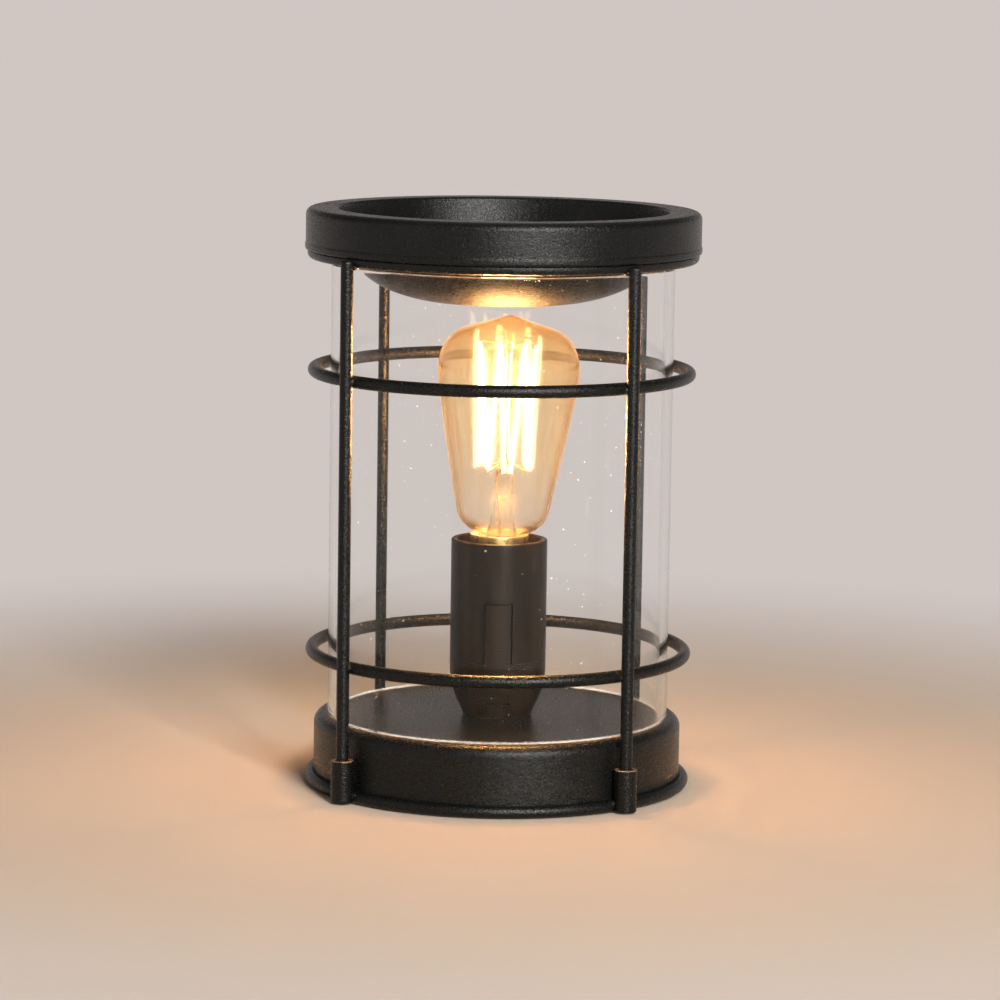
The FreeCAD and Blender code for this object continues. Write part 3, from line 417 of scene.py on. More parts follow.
def worn_coat():
    """The coat, worn through to rusty metal along the sleeves' upper edges."""
    net = Net("black_powder_coat_worn")
    grain, lumps, black, rough = coat(net)
    sleeve_top = size_of("rod_sleeve_front_left").top
    edge = net.span(net.height(), (sleeve_top - WORN_WIDTH) * MM, sleeve_top * MM)
    uneven = net.times(net.noise(900, 2.0), 0.9)
    worn = net.math("GREATER_THAN", net.add(edge, uneven), 1.2)
    rusty = net.blend(net.noise(1300, 3.0), (0.10, 0.05, 0.024, 1), (0.30, 0.18, 0.10, 1))
    colour = net.blend(worn, black, rusty)
    rough = net.math("SUBTRACT", rough, net.times(worn, 0.05))
    height = net.math("SUBTRACT", net.add(net.times(grain, 0.4), lumps), net.times(worn, 0.5))
    normal = net.bump(height, COAT_BUMP, COAT_DEPTH)
    return net.done(net.principled(colour, rough, normal, Specular_IOR_Level=COAT_GLOSS))


def lit_glass(net, surface, seen_through):
    """Glass that lets the lamps' light through to what is behind it."""
    clear = net.node("ShaderNodeBsdfTransparent", Color=seen_through).outputs[0]
    return net.mix(net.node("ShaderNodeLightPath").outputs["Is Shadow Ray"], surface, clear)


def glass(net, colour, rough, normal, ior=1.47):
    kind = "ShaderNodeBsdfGlass"
    return net.node(kind, Color=colour, Roughness=rough, IOR=ior, Normal=normal).outputs[0]


def specks(net, scale, size, share):
    """Mask of scattered round specks."""
    cells = net.node("ShaderNodeTexVoronoi", Vector=net.object, Scale=scale)
    near = net.math("LESS_THAN", cells.outputs["Distance"], size)
    pick = net.node("ShaderNodeSeparateColor", _0=cells.outputs["Color"]).outputs[0]
    return net.times(near, net.math("LESS_THAN", pick, share))


def clear_glass():
    """Clear glass with dust, fine scratches and ground ends."""
    net = Net("clear_glass")
    dust = net.add(specks(net, 260, 0.07, 0.14), specks(net, 620, 0.09, 0.07))
    scratch = net.math("GREATER_THAN", net.noise(90, 2.0, 0.5, (9.0, 9.0, 0.55)), 0.74)
    marks = net.times(net.math("MAXIMUM", dust, net.times(scratch, 0.12)), 0.5)
    smudge = net.span(net.noise(38, 5.0, 0.62), 0.52, 0.78, 0.0, 0.0015)
    dirty = net.add(marks, smudge)
    normal = net.bump(net.noise(16, 1.0, 0.4), 0.10, 0.0006)
    body = glass(net, (0.994, 0.997, 0.996, 1), 0.0, normal, 1.24)
    body = net.mix(dirty, body, net.diffuse((0.78, 0.76, 0.72, 1)))
    above = net.span(net.height(), (GLASS.top - 0.5) * MM, (GLASS.top - 0.2) * MM)
    below = net.span(net.height(), (GLASS.low + 0.6) * MM, (GLASS.low + 0.3) * MM)
    ends = net.math("MAXIMUM", net.times(above, 0.3), below)
    ground = net.times(ends, net.span(net.noise(900), 0.3, 0.6, 0.25, 0.55))
    frosted = net.node("ShaderNodeBsdfTranslucent", Color=(0.95, 0.88, 0.80, 1)).outputs[0]
    frosted = net.mix(0.5, net.diffuse((0.95, 0.90, 0.84, 1)), frosted)
    return net.done(lit_glass(net, net.mix(ground, body, frosted), (0.97, 0.98, 0.975, 1)))


def amber_glass():
    """Lightly amber glass, browner towards the crown, with a haze that spreads the filament's glow."""
    net = Net("amber_glass")
    streaks = net.span(net.noise(420, 2.0, 0.5, (1.0, 1.0, 0.04)), 0.38, 0.66)
    pale = net.blend(streaks, (1.0, 0.97, 0.90, 1), (0.96, 0.87, 0.71, 1))
    foot = net.span(net.height(), (RIM_Z + 34.0) * MM, (RIM_Z + 6.0) * MM, 0.0, 0.7)
    pale = net.blend(foot, pale, (1.0, 0.985, 0.96, 1))
    crown = net.span(net.height(), (RIM_Z + 42.0) * MM, (RIM_Z + 62.0) * MM)
    tint = net.blend(crown, pale, (0.97, 0.86, 0.68, 1))
    normal = net.bump(net.noise(60, 1.0, 0.4, (1.0, 1.0, 0.3)), 0.08, 0.0006)
    slant = net.node("ShaderNodeLayerWeight", Blend=0.5).outputs["Facing"]
    tint = net.blend(net.span(slant, 0.45, 0.95), tint, (0.84, 0.61, 0.38, 1))
    clear = glass(net, tint, 0.0, normal, 1.28)
    body = net.mix(0.12, clear, glass(net, (1.0, 0.95, 0.84, 1), 0.30, normal, 1.12))
    haze = net.node("ShaderNodeBsdfTranslucent", Color=(1.0, 0.86, 0.62, 1)).outputs[0]
    cloudy = net.span(net.noise(110, 3.0, 0.6, (1.0, 1.0, 0.12)), 0.35, 0.65, 0.0015, 0.0085)
    share = net.add(cloudy, net.times(crown, 0.009))
    return net.done(lit_glass(net, net.mix(share, body, haze), (1.0, 0.93, 0.80, 1)))


def stem_glass():
    """Slightly wavy clear glass."""
    net = Net("stem_glass")
    tint = net.blend(net.noise(300, 2.0), (0.995, 0.99, 0.98, 1), (0.97, 0.955, 0.93, 1))
    normal = net.bump(net.noise(260, 3.0), 0.35, 0.0004)
    return net.done(lit_glass(net, glass(net, tint, 0.02, normal), (0.97, 0.96, 0.93, 1)))


def filament_glow():
    """Glowing wire, cooler at its lower ends; the lamps of bulb_glow give its light."""
    net = Net("filament")
    hot = net.span(net.height(), (RIM_Z + 17.0) * MM, (RIM_Z + 20.0) * MM, 12.0, 20.0)
    uneven = net.span(net.noise(900, 2.0), 0.3, 0.7, 0.9, 1.1)
    made = net.node("ShaderNodeEmission", Color=(1.0, 0.76, 0.48, 1), Strength=net.times(hot, uneven))
    material = net.done(made.outputs[0])
    material.cycles.emission_sampling = "NONE"
    return material


def black_plastic():
    """Smooth moulded plastic with soft upright streaks and a little dust; its warm brown tone and
    brighter streaks in the colour are a painted reflection of the bulb's warm light.
    """
    net = Net("black_plastic")
    streaks = net.span(net.noise(60, 2.0, 0.5, (6.0, 6.0, 0.25)), 0.25, 0.75)
    # Painted reflection: the warm brown colour and its brighter upright streaks stand in for the bulb's
    # warm light reflected in the plastic; the streaks in the roughness are real moulding marks
    colour = net.blend(streaks, (0.0040, 0.0024, 0.0012, 1), (0.0170, 0.0105, 0.0056, 1))
    dust = net.times(specks(net, 900, 0.10, 0.10), 0.45)
    colour = net.blend(dust, colour, (0.30, 0.27, 0.23, 1))
    rough = net.add(net.times(streaks, 0.08), 0.30)
    normal = net.bump(net.noise(240, 2.0, 0.5, (1.0, 1.0, 0.2)), 0.05, 0.0001)
    return net.done(net.principled(colour, rough, normal, Specular_IOR_Level=0.13))


def metal(name, low, high, shine, scale=420):
    """Brushed metal, cloudy between two colours."""
    net = Net(name)
    cloud = net.noise(scale, 4.0, 0.6)
    brushed = net.noise(900, 2.0, 0.5, (1.0, 1.0, 6.0))
    colour = net.blend(net.span(cloud, 0.35, 0.7), (*low, 1), (*high, 1))
    rough = net.span(cloud, 0.3, 0.7, shine, shine + 0.16)
    return net.done(net.principled(colour, rough, net.bump(brushed, 0.22, 0.00008), Metallic=1.0))


def dull(name, low, high, shine, scale=700, depth=0.0002):
    """Plastic, rubber, cement or dark glass, cloudy between two colours."""
    net = Net(name)
    cloud = net.noise(scale, 4.0, 0.6)
    colour = net.blend(net.span(cloud, 0.35, 0.7), (*low, 1), (*high, 1))
    rough = net.span(net.noise(scale * 0.4), 0.3, 0.7, shine, min(1.0, shine + 0.15))
    return net.done(net.principled(colour, rough, net.bump(cloud, 0.4, depth)))


finishes = {
    "black_powder_coat": powder_coat(),
    "worn_coat": worn_coat(),
    "clear_glass": clear_glass(),
    "stem_glass": stem_glass(),
    "amber_glass": amber_glass(),
    "filament": filament_glow(),
    "black_plastic": black_plastic(),
    "white_plastic": dull("white_plastic", (0.60, 0.59, 0.55), (0.70, 0.69, 0.65), 0.35, 500, 0.00006),
    "brass": metal("brass", (0.52, 0.36, 0.13), (0.72, 0.53, 0.24), 0.22),
    "solder": metal("solder", (0.42, 0.42, 0.43), (0.60, 0.60, 0.61), 0.30),
    "nickel_wire": metal("nickel_wire", (0.16, 0.12, 0.09), (0.28, 0.22, 0.17), 0.35, 1500),
    "plated_steel": metal("plated_steel", (0.50, 0.51, 0.52), (0.66, 0.67, 0.68), 0.28),
    "black_glass": dull("black_glass", (0.010, 0.010, 0.012), (0.020, 0.019, 0.022), 0.10, 500, 0.00006),
    "basing_cement": dull("basing_cement", (0.34, 0.29, 0.22), (0.50, 0.45, 0.36), 0.80, 1500),
    "black_rubber": dull("black_rubber", (0.014, 0.014, 0.015), (0.030, 0.030, 0.031), 0.70, 1400),
    "lead_insulation": dull("lead_insulation", (0.16, 0.045, 0.018), (0.21, 0.065, 0.028), 0.42),
    "lead_insulation_blue": dull(
        "lead_insulation_blue", (0.012, 0.045, 0.19), (0.020, 0.062, 0.25), 0.42
    ),
}

for part in frame["record"]["subparts"]:
    mesh = frame["nodes"][part["node"]].data
    mesh.materials.clear()
    mesh.materials.append(finishes[part["material_slot"]])


# ---------------------------------------------------------------- wax dish
ARC_STEPS = 24


def steep_arc(wall_r, wall_bottom):
    """Radius of the arc that runs from the shallow one to the wall, and the angle where they meet."""
    lean = Vector((math.cos(BOWL_WALL_LEAN), -math.sin(BOWL_WALL_LEAN)))
    to_wall = Vector((wall_r - BOWL_FLAT_R, wall_bottom - DISH.low - BOWL_SHALLOW_R))
    radius = (to_wall.length_squared - BOWL_SHALLOW_R**2) / (2 * (to_wall.dot(lean) - BOWL_SHALLOW_R))
    centre = to_wall - lean * radius
    return radius, math.atan2(centre.x, -centre.y)


def bowl_side(thickness):
    """Points from the flat bottom up to the rim's wall, on two arcs that are tangent."""
    wall_bottom = DISH.top - BOWL_BELOW_RIM
    wall_r = BOWL_R - BOWL_BELOW_RIM * math.tan(BOWL_WALL_LEAN)
    steep_r, meet = steep_arc(wall_r, wall_bottom)
    end = math.pi / 2 - BOWL_WALL_LEAN
    steep_x = wall_r - steep_r * math.sin(end)
    steep_z = wall_bottom + steep_r * math.cos(end)
    points = []
    for k in range(ARC_STEPS + 1):
        a = meet * k / ARC_STEPS
        r = BOWL_SHALLOW_R - thickness
        points.append((BOWL_FLAT_R + r * math.sin(a), DISH.low + BOWL_SHALLOW_R - r * math.cos(a)))
    for k in range(1, ARC_STEPS + 1):
        a = meet + (end - meet) * k / ARC_STEPS
        r = steep_r - thickness
        points.append((steep_x + r * math.sin(a), steep_z - r * math.cos(a)))
    return points


def wax_dish():
    """Bowl, flat rim and skirt with a rolled hem, pressed from one sheet."""
    inner_skirt_r = SKIRT_R - SHEET
    hem_inner_r = DISH.radius - HEM_WIDTH
    low, top = RING.top, DISH.top
    hem_top = low + HEM_HEIGHT
    outside = [(0, DISH.low)] + bowl_side(0.0)
    inside = bowl_side(SHEET)[::-1] + [(0, DISH.low + SHEET)]
    rim_and_skirt = rounded([
        (*outside[-1], 0), (BOWL_R, top - SHEET, 0.3),
        (inner_skirt_r, top - SHEET, 0.8), (inner_skirt_r, hem_top, 0),
        (hem_inner_r, hem_top, 0.3), (hem_inner_r, low, 0.3), (DISH.radius, low, 0.8),
        (DISH.radius, hem_top + 0.05, 0.35), (SKIRT_R, hem_top + 0.6, 0.5), (SKIRT_R, top, 2.0),
        (BOWL_R - SHEET, top, 0.9), (*inside[0], 0),
    ], closed=False)
    profile = outside + rim_and_skirt[1:-1] + inside
    lathe("dish_pressing", profile, "dish", "black_powder_coat", ("wax_dish",), 288)


# ---------------------------------------------------------------- cage and base
def cage_ring():
    """Flat ring that carries the dish."""
    corners = [
        (RING_INNER_R, RING.low, 0.5), (RING.radius, RING.low, 1.5),
        (RING.radius, RING.top, 0.45), (RING_INNER_R, RING.top, 0.45),
    ]
    lathe("ring_band", rounded(corners), "cage", "black_powder_coat", ("cage_top_ring",), 288)


def hoop(name, size, body, node):
    """Wire hoop; the foot ring is one too."""
    profile = circle(WIRE_R, size.radius - WIRE_R, (size.low + size.top) / 2)
    lathe(name, profile, body, "black_powder_coat", (node,), 288)


def rod(where):
    """Upright rod with blunt ends."""
    node = "cage_rod_" + where
    size = size_of(node)
    there = Matrix.Translation((size.x, size.y, 0))
    profile = rounded([
        (0, size.low, 0), (WIRE_R, size.low, 0.5), (WIRE_R, size.top, 0.5), (0, size.top, 0),
    ], 4, False)
    lathe("rod_" + where, profile, "cage", "black_powder_coat", (node,), 32, False, there)


def sleeve(where):
    """Tube with a floor, which a rod stands in."""
    node, rod_size = "rod_sleeve_" + where, size_of("cage_rod_" + where)
    size = size_of(node)
    there = Matrix.Translation((rod_size.x, rod_size.y, 0))
    bore_r, floor = WIRE_R + SLEEVE_GAP, size.low + SLEEVE_FLOOR
    profile = rounded([
        (0, size.low, 0), (SLEEVE_R, size.low, 0.35), (SLEEVE_R, size.top, 0.22),
        (bore_r, size.top, 0.22), (bore_r, floor, 0), (0, floor, 0),
    ], 4, False)
    lathe(
        "sleeve_" + where, profile, "base", "black_powder_coat", (node,), 48, False, there,
        finish="worn_coat",
    )


# Half sizes of the weld beads, and their angles beside a rod's middle, in degrees
HOOP_BEAD, RING_BEAD, SLEEVE_BEAD = (1.25, 1.25, 1.15), (1.2, 1.2, 0.9), (1.3, 1.3, 1.1)
HOOP_BEAD_TURN, RING_BEAD_TURN, SLEEVE_BEAD_TURN = 1.15, 1.25, 3.3


def welds():
    """Weld metal in the corners of the rods and hoops, the rods and ring, the sleeves and foot ring."""
    on_cage, on_base = [], []
    for k, where in enumerate(ROD_PLACES):
        rod_size = size_of("cage_rod_" + where)
        angle = math.degrees(math.atan2(rod_size.y, rod_size.x))
        for side in (-1, 1):
            for level, size in enumerate((LOWER_HOOP, UPPER_HOOP)):
                middle = (size.low + size.top) / 2
                turn = angle + side * HOOP_BEAD_TURN
                centre = polar(size.radius - 0.45, turn, middle + side * 0.25)
                on_cage.append(bead(centre, HOOP_BEAD, seed=10 * k + 3 * level + side))
            centre = polar(RING.radius - 1.05, angle + side * RING_BEAD_TURN, RING.low + 0.1)
            on_cage.append(bead(centre, RING_BEAD, seed=71 + 10 * k + side))
            turn = angle + side * SLEEVE_BEAD_TURN
            centre = polar(FOOT_RING.radius - 0.9, turn, FOOT_RING.top - 1.0)
            on_base.append(bead(centre, SLEEVE_BEAD, seed=131 + 10 * k + side))
    place("cage_welds", mesh_of("cage_welds", *joined(on_cage)), "cage", "black_powder_coat")
    place("sleeve_welds", mesh_of("sleeve_welds", *joined(on_base)), "base", "black_powder_coat")


def glass_tube():
    """Glass cylinder, open at both ends, with rounded edges."""
    inner_r = GLASS.radius - GLASS_WALL
    corners = [
        (inner_r, GLASS.low, 0.75), (GLASS.radius, GLASS.low, 0.75),
        (GLASS.radius, GLASS.top, 0.8), (inner_r, GLASS.top, 0.8),
    ]
    lathe("glass_tube", rounded(corners, 8), "glass", "clear_glass", ("glass_cylinder",), 320, sharp=60)


def drum():
    """Pressed drum with the nipple's hole in its top and the gland's hole in its back."""
    inside_r, under_top = DRUM.radius - SHEET, DRUM.top - SHEET
    profile = rounded([
        (NIPPLE_HOLE_R, under_top, 0), (inside_r, under_top, 1.6), (inside_r, DRUM.low, 0.3),
        (DRUM.radius, DRUM.low, 0.4), (DRUM.radius, DRUM.top, 2.8), (NIPPLE_HOLE_R, DRUM.top, 0),
    ], 10)
    piece = lathe("drum_pressing", profile, "base", "black_powder_coat", ("base_drum",), 288)
    at_gland = Matrix.Translation((0, DRUM.radius, (GLAND.low + GLAND.top) / 2))
    across = at_gland @ Matrix.Rotation(math.pi / 2, 4, "X")
    reach = 5 * SHEET
    drill = [(0, -reach), (GLAND_HOLE_R, -reach), (GLAND_HOLE_R, reach), (0, reach)]
    verts, faces = turned(drill, 64, False)
    cut(piece, [tuple(across @ Vector(v)) for v in verts], faces)


# ---------------------------------------------------------------- lampholder
HOLDER_R = SHELL.radius
SEAM_Z = SHELL.low
TAPER_TOP, TAPER_FOOT = HOLDER_CAP.low + 14.0, HOLDER_CAP.low + 0.8
# Radius and height up the tapered foot, which leaves the bottom at a slope and ends upright
TAPER = spline(
    [(10.2, TAPER_FOOT), (12.45, HOLDER_CAP.low + 5.9), (HOLDER_R, TAPER_TOP)],
    ((0.33, 0.94), (0.0, 1.0)), 10,
)
TAB_HALF, TAB_GAP, TAB_TOP = 3.7, 0.5, SEAM_Z + 17.3
GROOVE_DEPTH = 1.0
SEAM_HALF, SEAM_DEPTH = 0.12, 0.22
HOLDER_BORE_DEPTH = 11.0
INSERT_BORE_R, INSERT_LOW, INSERT_FOOT = 10.8, SEAM_Z + 3.6, SEAM_Z - 2.4
CAP_BORE_R, CAP_FLOOR = 8.2, HOLDER_CAP.low + 4.5
NOTCH_NEAR, NOTCH_FAR, NOTCH_DEPTH, NOTCH_R = 1.46, 3.74, 1.1, 12.0
NOTCH_LOW, NOTCH_HIGH = HOLDER_CAP.low + 4.1, HOLDER_CAP.low + 5.1
# Width of the slopes beside grooves and notches
EDGE = 0.12


def holder_outline(z):
    """Radius at a height of the plain body, without its grooves."""
    if z <= TAPER_FOOT:
        return HOLDER_FOOT_R + (z - HOLDER_CAP.low) * 0.5
    if z >= TAPER_TOP:
        return HOLDER_R
    return float(np.interp(z, [q[1] for q in TAPER], [q[0] for q in TAPER]))


def within(value, low, high, soft=EDGE):
    """1 inside a span and 0 outside, with short slopes."""
    return max(0.0, min(1.0, (value - low) / soft + 0.5, (high - value) / soft + 0.5))


def holder_radius(angle, z):
    """Radius of the lampholder, with its tab's grooves, seam and notches."""
    off_middle = math.radians(min(abs(angle + 90), abs(angle - 90)))
    across = off_middle * HOLDER_R
    side = within(across, TAB_HALF, TAB_HALF + TAB_GAP) * within(z, SEAM_Z - 1, TAB_TOP + TAB_GAP)
    over = within(z, TAB_TOP, TAB_TOP + TAB_GAP) if across < TAB_HALF + TAB_GAP else 0.0
    groove = max(side, over) if z > SEAM_Z else 0.0
    r = holder_outline(z) - groove * GROOVE_DEPTH
    if across >= TAB_HALF:
        r -= SEAM_DEPTH * within(z, SEAM_Z - SEAM_HALF, SEAM_Z + SEAM_HALF, 0.08)
    if angle < 0:
        side = within(off_middle * NOTCH_R, NOTCH_NEAR, NOTCH_FAR)
        r -= NOTCH_DEPTH * side * within(z, NOTCH_LOW, NOTCH_HIGH)
    return r


def lines_at(*edges):
    """A pair of lines round each edge, so that its slope stays short."""
    return [edge + s * EDGE / 2 for edge in edges for s in (-1, 1)]


def holder_angles():
    """Degrees round the lampholder, with lines beside the tab and the notches on both sides."""
    near = [math.degrees(mm / HOLDER_R) for mm in lines_at(TAB_HALF, TAB_HALF + TAB_GAP)]
    near += [math.degrees(mm / NOTCH_R) for mm in lines_at(NOTCH_NEAR, NOTCH_FAR)]
    near += [0.0, 2.5, 5.0, 9.0, 11.5, 14.0]
    front_and_back, lined_half = (-90, 90), 19
    lined = [middle + s * a for middle in front_and_back for a in near for s in (-1, 1)]
    spread = [a for a in range(-180, 180, 3) if abs(abs(a) - 90) > lined_half]
    return sorted({round(a, 4) for a in lined + spread})


def holder_heights():
    """Heights up the lampholder, with lines along the notches, the seam and the tab's top."""
    heights = [HOLDER_CAP.low, TAPER_FOOT]
    heights += lines_at(NOTCH_LOW, NOTCH_HIGH) + lines_at(TAB_TOP, TAB_TOP + TAB_GAP)
    heights += [SEAM_Z + d for d in (-0.28, -0.16, -0.08, 0.0, 0.08, 0.16, 0.28)]
    even = np.arange(HOLDER_CAP.low + 1.6, SHELL.top - 1.5, 1.3)
    heights += [z for z in even if min(abs(z - h) for h in heights) > 0.2]
    return sorted(heights)


def lampholder():
    """Shell and cap of the lampholder, on a grid with lines along every groove and notch."""
    angles = holder_angles()
    rows = [[(holder_radius(a, z), z) for a in angles] for z in holder_heights()]
    top = rounded([
        (HOLDER_R, SHELL.top - 3, 0), (HOLDER_R, SHELL.top, 0.55), (HOLDER_BORE_R, SHELL.top, 0.4),
        (HOLDER_BORE_R, SHELL.top - HOLDER_BORE_DEPTH, 0),
    ], 5, False)
    bore = [
        (HOLDER_BORE_R, INSERT_LOW), (INSERT_BORE_R, INSERT_LOW), (INSERT_BORE_R, INSERT_FOOT),
        (CAP_BORE_R, CAP_FLOOR), (NIPPLE_HOLE_R, CAP_FLOOR), (NIPPLE_HOLE_R, HOLDER_CAP.low),
    ]
    rows += [[(r, z)] * len(angles) for r, z in top[1:] + bore]
    verts = [polar(r, a, z) for row in rows for a, (r, z) in zip(angles, row)]
    count = len(angles)
    faces = []
    for i in range(len(rows)):
        low, high = i * count, (i + 1) % len(rows) * count
        for k in range(count):
            n = (k + 1) % count
            faces.append([low + k, low + n, high + n, high + k])
    mesh = mesh_of("lampholder_body", verts, faces)
    place("lampholder_body", mesh, "base", "black_plastic", ("lampholder_shell", "lampholder_cap"), 50)


# ---------------------------------------------------------------- bulb
BULB_R, BULB_BELT, BULB_TIP = 20.4, 48.5, 63.4
BULB_NECK_R, NECK_IN_CAP = 7.0, 3.8
BULB_WALL, STEM_WALL = 0.8, 0.75
# Shares of the bulb's radius and of its belt's height up its side, then of what is above its belt
BULB_SIDE = (
    (0.471, 0.029), (0.598, 0.080), (0.681, 0.190), (0.755, 0.353), (0.853, 0.575), (0.946, 0.796)
)
BULB_CROWN = ((0.925, 0.40), (0.80, 0.61), (0.62, 0.74), (0.43, 0.82), (0.245, 0.895), (0.105, 0.965))


def envelope_side(inset):
    """Profile of the envelope from its neck to the blunt point of its crown, above the bulb's rim."""
    above = BULB_TIP - BULB_BELT
    side = [(BULB_R * r, BULB_BELT * z) for r, z in BULB_SIDE]
    crown = [(BULB_R * r, BULB_BELT + above * z) for r, z in BULB_CROWN]
    points = [(BULB_NECK_R, 0.0), *side, (BULB_R, BULB_BELT), *crown, (0.0, BULB_TIP)]
    points = spline(points, (None, (-1.0, 0.0)))
    p = np.array([(BULB_NECK_R, -NECK_IN_CAP), (BULB_NECK_R, -NECK_IN_CAP / 2)] + points)
    along = np.gradient(p, axis=0)
    along /= np.hypot(*along.T)[:, None]
    p = p + np.stack([-along[:, 1], along[:, 0]], 1) * inset
    p[0, 1] = -NECK_IN_CAP
    p[-1, 0] = 0.0
    return [(float(r), float(z) + RIM_Z) for r, z in p]


def bulb_envelope():
    """Hollow teardrop envelope."""
    profile = envelope_side(0.0) + envelope_side(BULB_WALL)[::-1]
    lathe(
        "bulb_envelope", profile, "bulb", "amber_glass", ("bulb_glass",), 224,
        matrix=LEANED, sharp=70,
    )


def bulb_stem():
    """Flared mount that narrows into a thin rod with two buttons, where the filament's hooks sit."""
    flare = spline([(6.0, -3.6), (4.9, -1.2), (3.6, 3.0), (2.9, 8.0), (2.6, 12.0)], steps=6)
    thin = [
        (2.6, 15.0), (2.45, 18.4), (1.6, 19.6), (0.9, 20.2), (1.5, 20.5), (1.7, 21.3), (1.4, 22.2),
        (0.9, 22.6), (0.85, 38.0), (0.9, 52.9), (1.5, 53.4), (1.7, 54.6), (1.3, 55.6), (0, 55.9),
    ]
    hollow = [(r - STEM_WALL, z) for r, z in flare[:-3]] + [(0, 9.4)]
    profile = [(r, z + RIM_Z) for r, z in (flare + thin)[::-1] + hollow]
    lathe(
        "stem_mount", profile, "bulb", "clear_glass", ("bulb_stem",), 64, False, LEANED,
        sharp=70, finish="stem_glass",
    )


def filament():
    """One wire up and down round the cage of hooks, with a bend at each."""
    runs, bend, approach, bend_steps = 14, 2.6, 8.0, 8
    low_r, low_z, high_r, high_z = 7.3, RIM_Z + 18.5, 8.6, RIM_Z + 56.0
    off_axis = Vector((-0.9, 0, 0))
    corners = []
    for k in range(runs + 1):
        angle = 360.0 * (k + 0.5) / runs - 90
        high = Vector(polar(high_r, angle, high_z)) + off_axis
        corners.append(high if k % 2 else Vector(polar(low_r, angle, low_z)))
    corners[-1] = Vector(polar(low_r, -91, low_z))
    points = [corners[0]]
    for before, here, after in zip(corners, corners[1:], corners[2:]):
        back, ahead = (before - here).normalized(), (after - here).normalized()
        start, end = here + back * bend, here + ahead * bend
        points.append(here + back * approach)
        for k in range(bend_steps + 1):
            t = k / bend_steps
            points.append(start * (1 - t) ** 2 + here * (2 * t * (1 - t)) + end * t**2)
        points.append(here + ahead * approach)
    points.append(corners[-1])
    mesh = mesh_of("filament_coil", *wire([LEANED @ p for p in points], FILAMENT_R, 10))
    place("filament_coil", mesh, "bulb", "filament", ("bulb_filament",))


def screw_cap():
    """Brass cap with a rolled round thread and a wider collar round the neck."""
    low, root_r, wall, thread_height = BULB_CAP.low + 1.0, 6.2, 0.4, 0.7
    turns, steps = 4, 8
    profile = [(root_r - 1.0, BULB_CAP.low), (root_r - 0.6, BULB_CAP.low), (root_r, low)]
    for k in range(1, turns * steps + 1):
        wave = 0.5 - 0.5 * math.cos(2 * math.pi * k / steps)
        profile.append((root_r + thread_height * wave, low + PITCH * k / steps))
    collar_r = BULB_CAP.radius
    collar = rounded([
        (root_r, RIM_Z - 6.7, 0), (root_r + 0.05, RIM_Z - 5.9, 0.3), (collar_r, RIM_Z - 4.5, 0.5),
        (collar_r, RIM_Z, 0.25), (collar_r - wall, RIM_Z, 0.1), (collar_r - wall, RIM_Z - 4.1, 0.4),
        (root_r - wall, RIM_Z - 5.8, 0.3), (root_r - wall, low, 0),
    ], 4, False)
    lathe("screw_cap", profile + collar, "bulb", "brass", ("bulb_cap",), 96)


wax_dish()
cage_ring()
hoop("hoop_lower", LOWER_HOOP, "cage", "cage_lower_hoop")
hoop("hoop_upper", UPPER_HOOP, "cage", "cage_upper_hoop")
hoop("ring_foot", FOOT_RING, "base", "foot_ring")
for where in ROD_PLACES:
    rod(where)
    sleeve(where)
welds()
glass_tube()
drum()
lampholder()
bulb_envelope()
bulb_stem()
filament()
screw_cap()


# ---------------------------------------------------------------- floor, light and camera, in metres
WALL_TONE = (0.63, 0.565, 0.54, 1)
ROOM_TONE, ROOM_STRENGTH = (1.0, 0.975, 0.95, 1), 0.10
FLOOR_HALF = 14.0
# Distances from the object between which the floor turns into the backdrop
BACKDROP_FROM, BACKDROP_TO = 0.14, 0.42
# Height above the bulb's rim, power in watts and radius, in millimetres
BULB_LIGHTS = ((10.0, 0.010, 3.0), (28.0, 0.11, 9.0), (48.0, 0.12, 9.0))
BULB_COLOUR = (1.0, 0.54, 0.23)
BULB_GLEAM = 5.5
LIT_HEIGHT = 0.08
CAMERA_AWAY, CAMERA_UP = 1.250, 0.2559
CAMERA_DOWN, CAMERA_ROLL = 7.905, 0.85
CAMERA_LENS = 157.3


def shows_backdrop(net):
    """1 for rays that show the backdrop: the camera's, reflected ones and ones through glass."""
    path = net.node("ShaderNodeLightPath")
    seen = net.math("MAXIMUM", path.outputs["Is Camera Ray"], path.outputs["Is Glossy Ray"])
    return net.math("MAXIMUM", seen, path.outputs["Is Transmission Ray"])


def pale_floor():
    """Pale floor that turns into an even backdrop away from the object."""
    net = Net("pale_floor")
    colour = net.blend(net.noise(2.5), (0.53, 0.43, 0.34, 1), (0.56, 0.46, 0.37, 1))
    near = net.diffuse(colour)
    away = net.node("ShaderNodeVectorMath", operation="LENGTH", _0=net.object).outputs["Value"]
    even = net.node("ShaderNodeEmission", Color=WALL_TONE).outputs[0]
    far = net.smooth(away, BACKDROP_FROM, BACKDROP_TO)
    return net.done(net.mix(net.times(far, shows_backdrop(net)), near, even))


def stage():
    """The floor, a hair below the object's lowest face."""
    mesh = bpy.data.meshes.new("floor")
    work = bmesh.new()
    bmesh.ops.create_grid(work, x_segments=24, y_segments=24, size=FLOOR_HALF)
    work.to_mesh(mesh)
    work.free()
    mesh.materials.append(pale_floor())
    floor = bpy.data.objects.new("floor", mesh)
    floor.location = (0, 0, -0.0001)
    bpy.context.scene.collection.objects.link(floor)


class WorldNet(Net):
    """The same short hand for the world's nodes."""

    def __init__(self, world):
        world.use_nodes = True
        self.tree = world.node_tree
        self.tree.nodes.clear()
        self.out = self.tree.nodes.new("ShaderNodeOutputWorld")


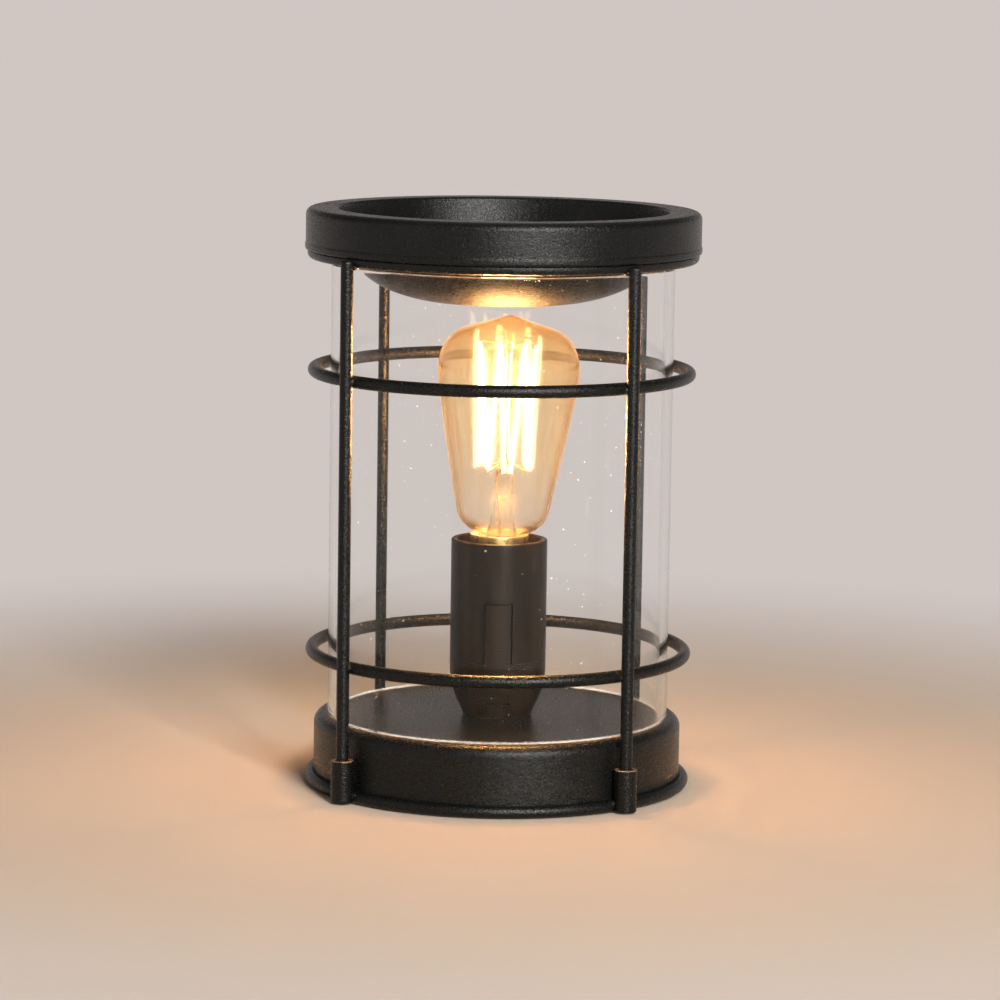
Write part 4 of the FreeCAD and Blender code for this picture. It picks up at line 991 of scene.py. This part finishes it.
def studio_world():
    """Even backdrop tone at the horizon that falls off to a dim room overhead."""
    world = bpy.data.worlds.new("studio")
    bpy.context.scene.world = world
    net = WorldNet(world)
    direction = net.node("ShaderNodeTexCoord").outputs["Generated"]
    height = net.node("ShaderNodeSeparateXYZ", _0=direction).outputs[2]
    overhead = net.smooth(height, 0.05, 0.35)
    wall = net.node("ShaderNodeBackground", Color=WALL_TONE, Strength=1.0).outputs[0]
    room = net.node("ShaderNodeBackground", Color=ROOM_TONE, Strength=ROOM_STRENGTH).outputs[0]
    net.tree.links.new(net.mix(overhead, wall, room), net.out.inputs["Surface"])


def lamp(name, kind, where, power, colour, **more):
    """A light that the camera doesn't see."""
    light = bpy.data.lights.new(name, kind)
    light.energy = power
    light.color = colour
    for key, value in more.items():
        setattr(light, key, value)
    thing = bpy.data.objects.new(name, light)
    thing.location = where
    thing.visible_camera = False
    bpy.context.scene.collection.objects.link(thing)
    return thing


def softbox(name, where, width, height, power, colour):
    """Area lamp that faces the object. Its light passes glass by lit_glass alone, so never twice."""
    thing = lamp(name, "AREA", where, power, colour, shape="RECTANGLE", size=width, size_y=height)
    thing.rotation_mode = "QUATERNION"
    thing.rotation_quaternion = (Vector((0, 0, LIT_HEIGHT)) - Vector(where)).to_track_quat("-Z", "Y")
    thing.visible_transmission = False


def bulb_glow():
    """The lit filament's light, from places along it, and its stronger gleam on glossy surfaces."""
    for level, (above_rim, power, radius) in enumerate(BULB_LIGHTS):
        where = (LEANED @ Vector((0, 0, RIM_Z + above_rim))) * MM
        for name, share in (("bulb_light", 1.0), ("bulb_gleam", BULB_GLEAM)):
            thing = lamp("%s_%d" % (name, level), "POINT", where, share * power, BULB_COLOUR)
            thing.data.shadow_soft_size = radius * MM
            thing.data.cycles.use_multiple_importance_sampling = False
            thing.visible_diffuse = name == "bulb_light"
            thing.visible_transmission = False


def photo_camera():
    """Camera in front of the object, tipped down and turned a little about its own axis."""
    data = bpy.data.cameras.new("photo_view")
    data.sensor_width = 36.0
    data.lens = CAMERA_LENS
    data.clip_start, data.clip_end = 0.05, 40.0
    camera = bpy.data.objects.new("photo_view", data)
    camera.matrix_world = (
        Matrix.Translation((0, -CAMERA_AWAY, CAMERA_UP))
        @ Matrix.Rotation(math.radians(90 - CAMERA_DOWN), 4, "X")
        @ Matrix.Rotation(math.radians(CAMERA_ROLL), 4, "Z")
    )
    bpy.context.scene.collection.objects.link(camera)
    bpy.context.scene.camera = camera


stage()
studio_world()
softbox("fill", (-1.6, -0.7, 1.0), width=1.3, height=1.3, power=2.5, colour=(0.96, 0.98, 1.0))
softbox("window", (0.48, -1.40, 0.70), width=0.26, height=1.10, power=46.0, colour=(1.0, 0.98, 0.95))
softbox("top", (0.1, 0.7, 1.9), width=1.6, height=1.6, power=3.0, colour=(1.0, 1.0, 1.0))
bulb_glow()
photo_camera()
bpy.context.scene.view_settings.view_transform = "Standard"
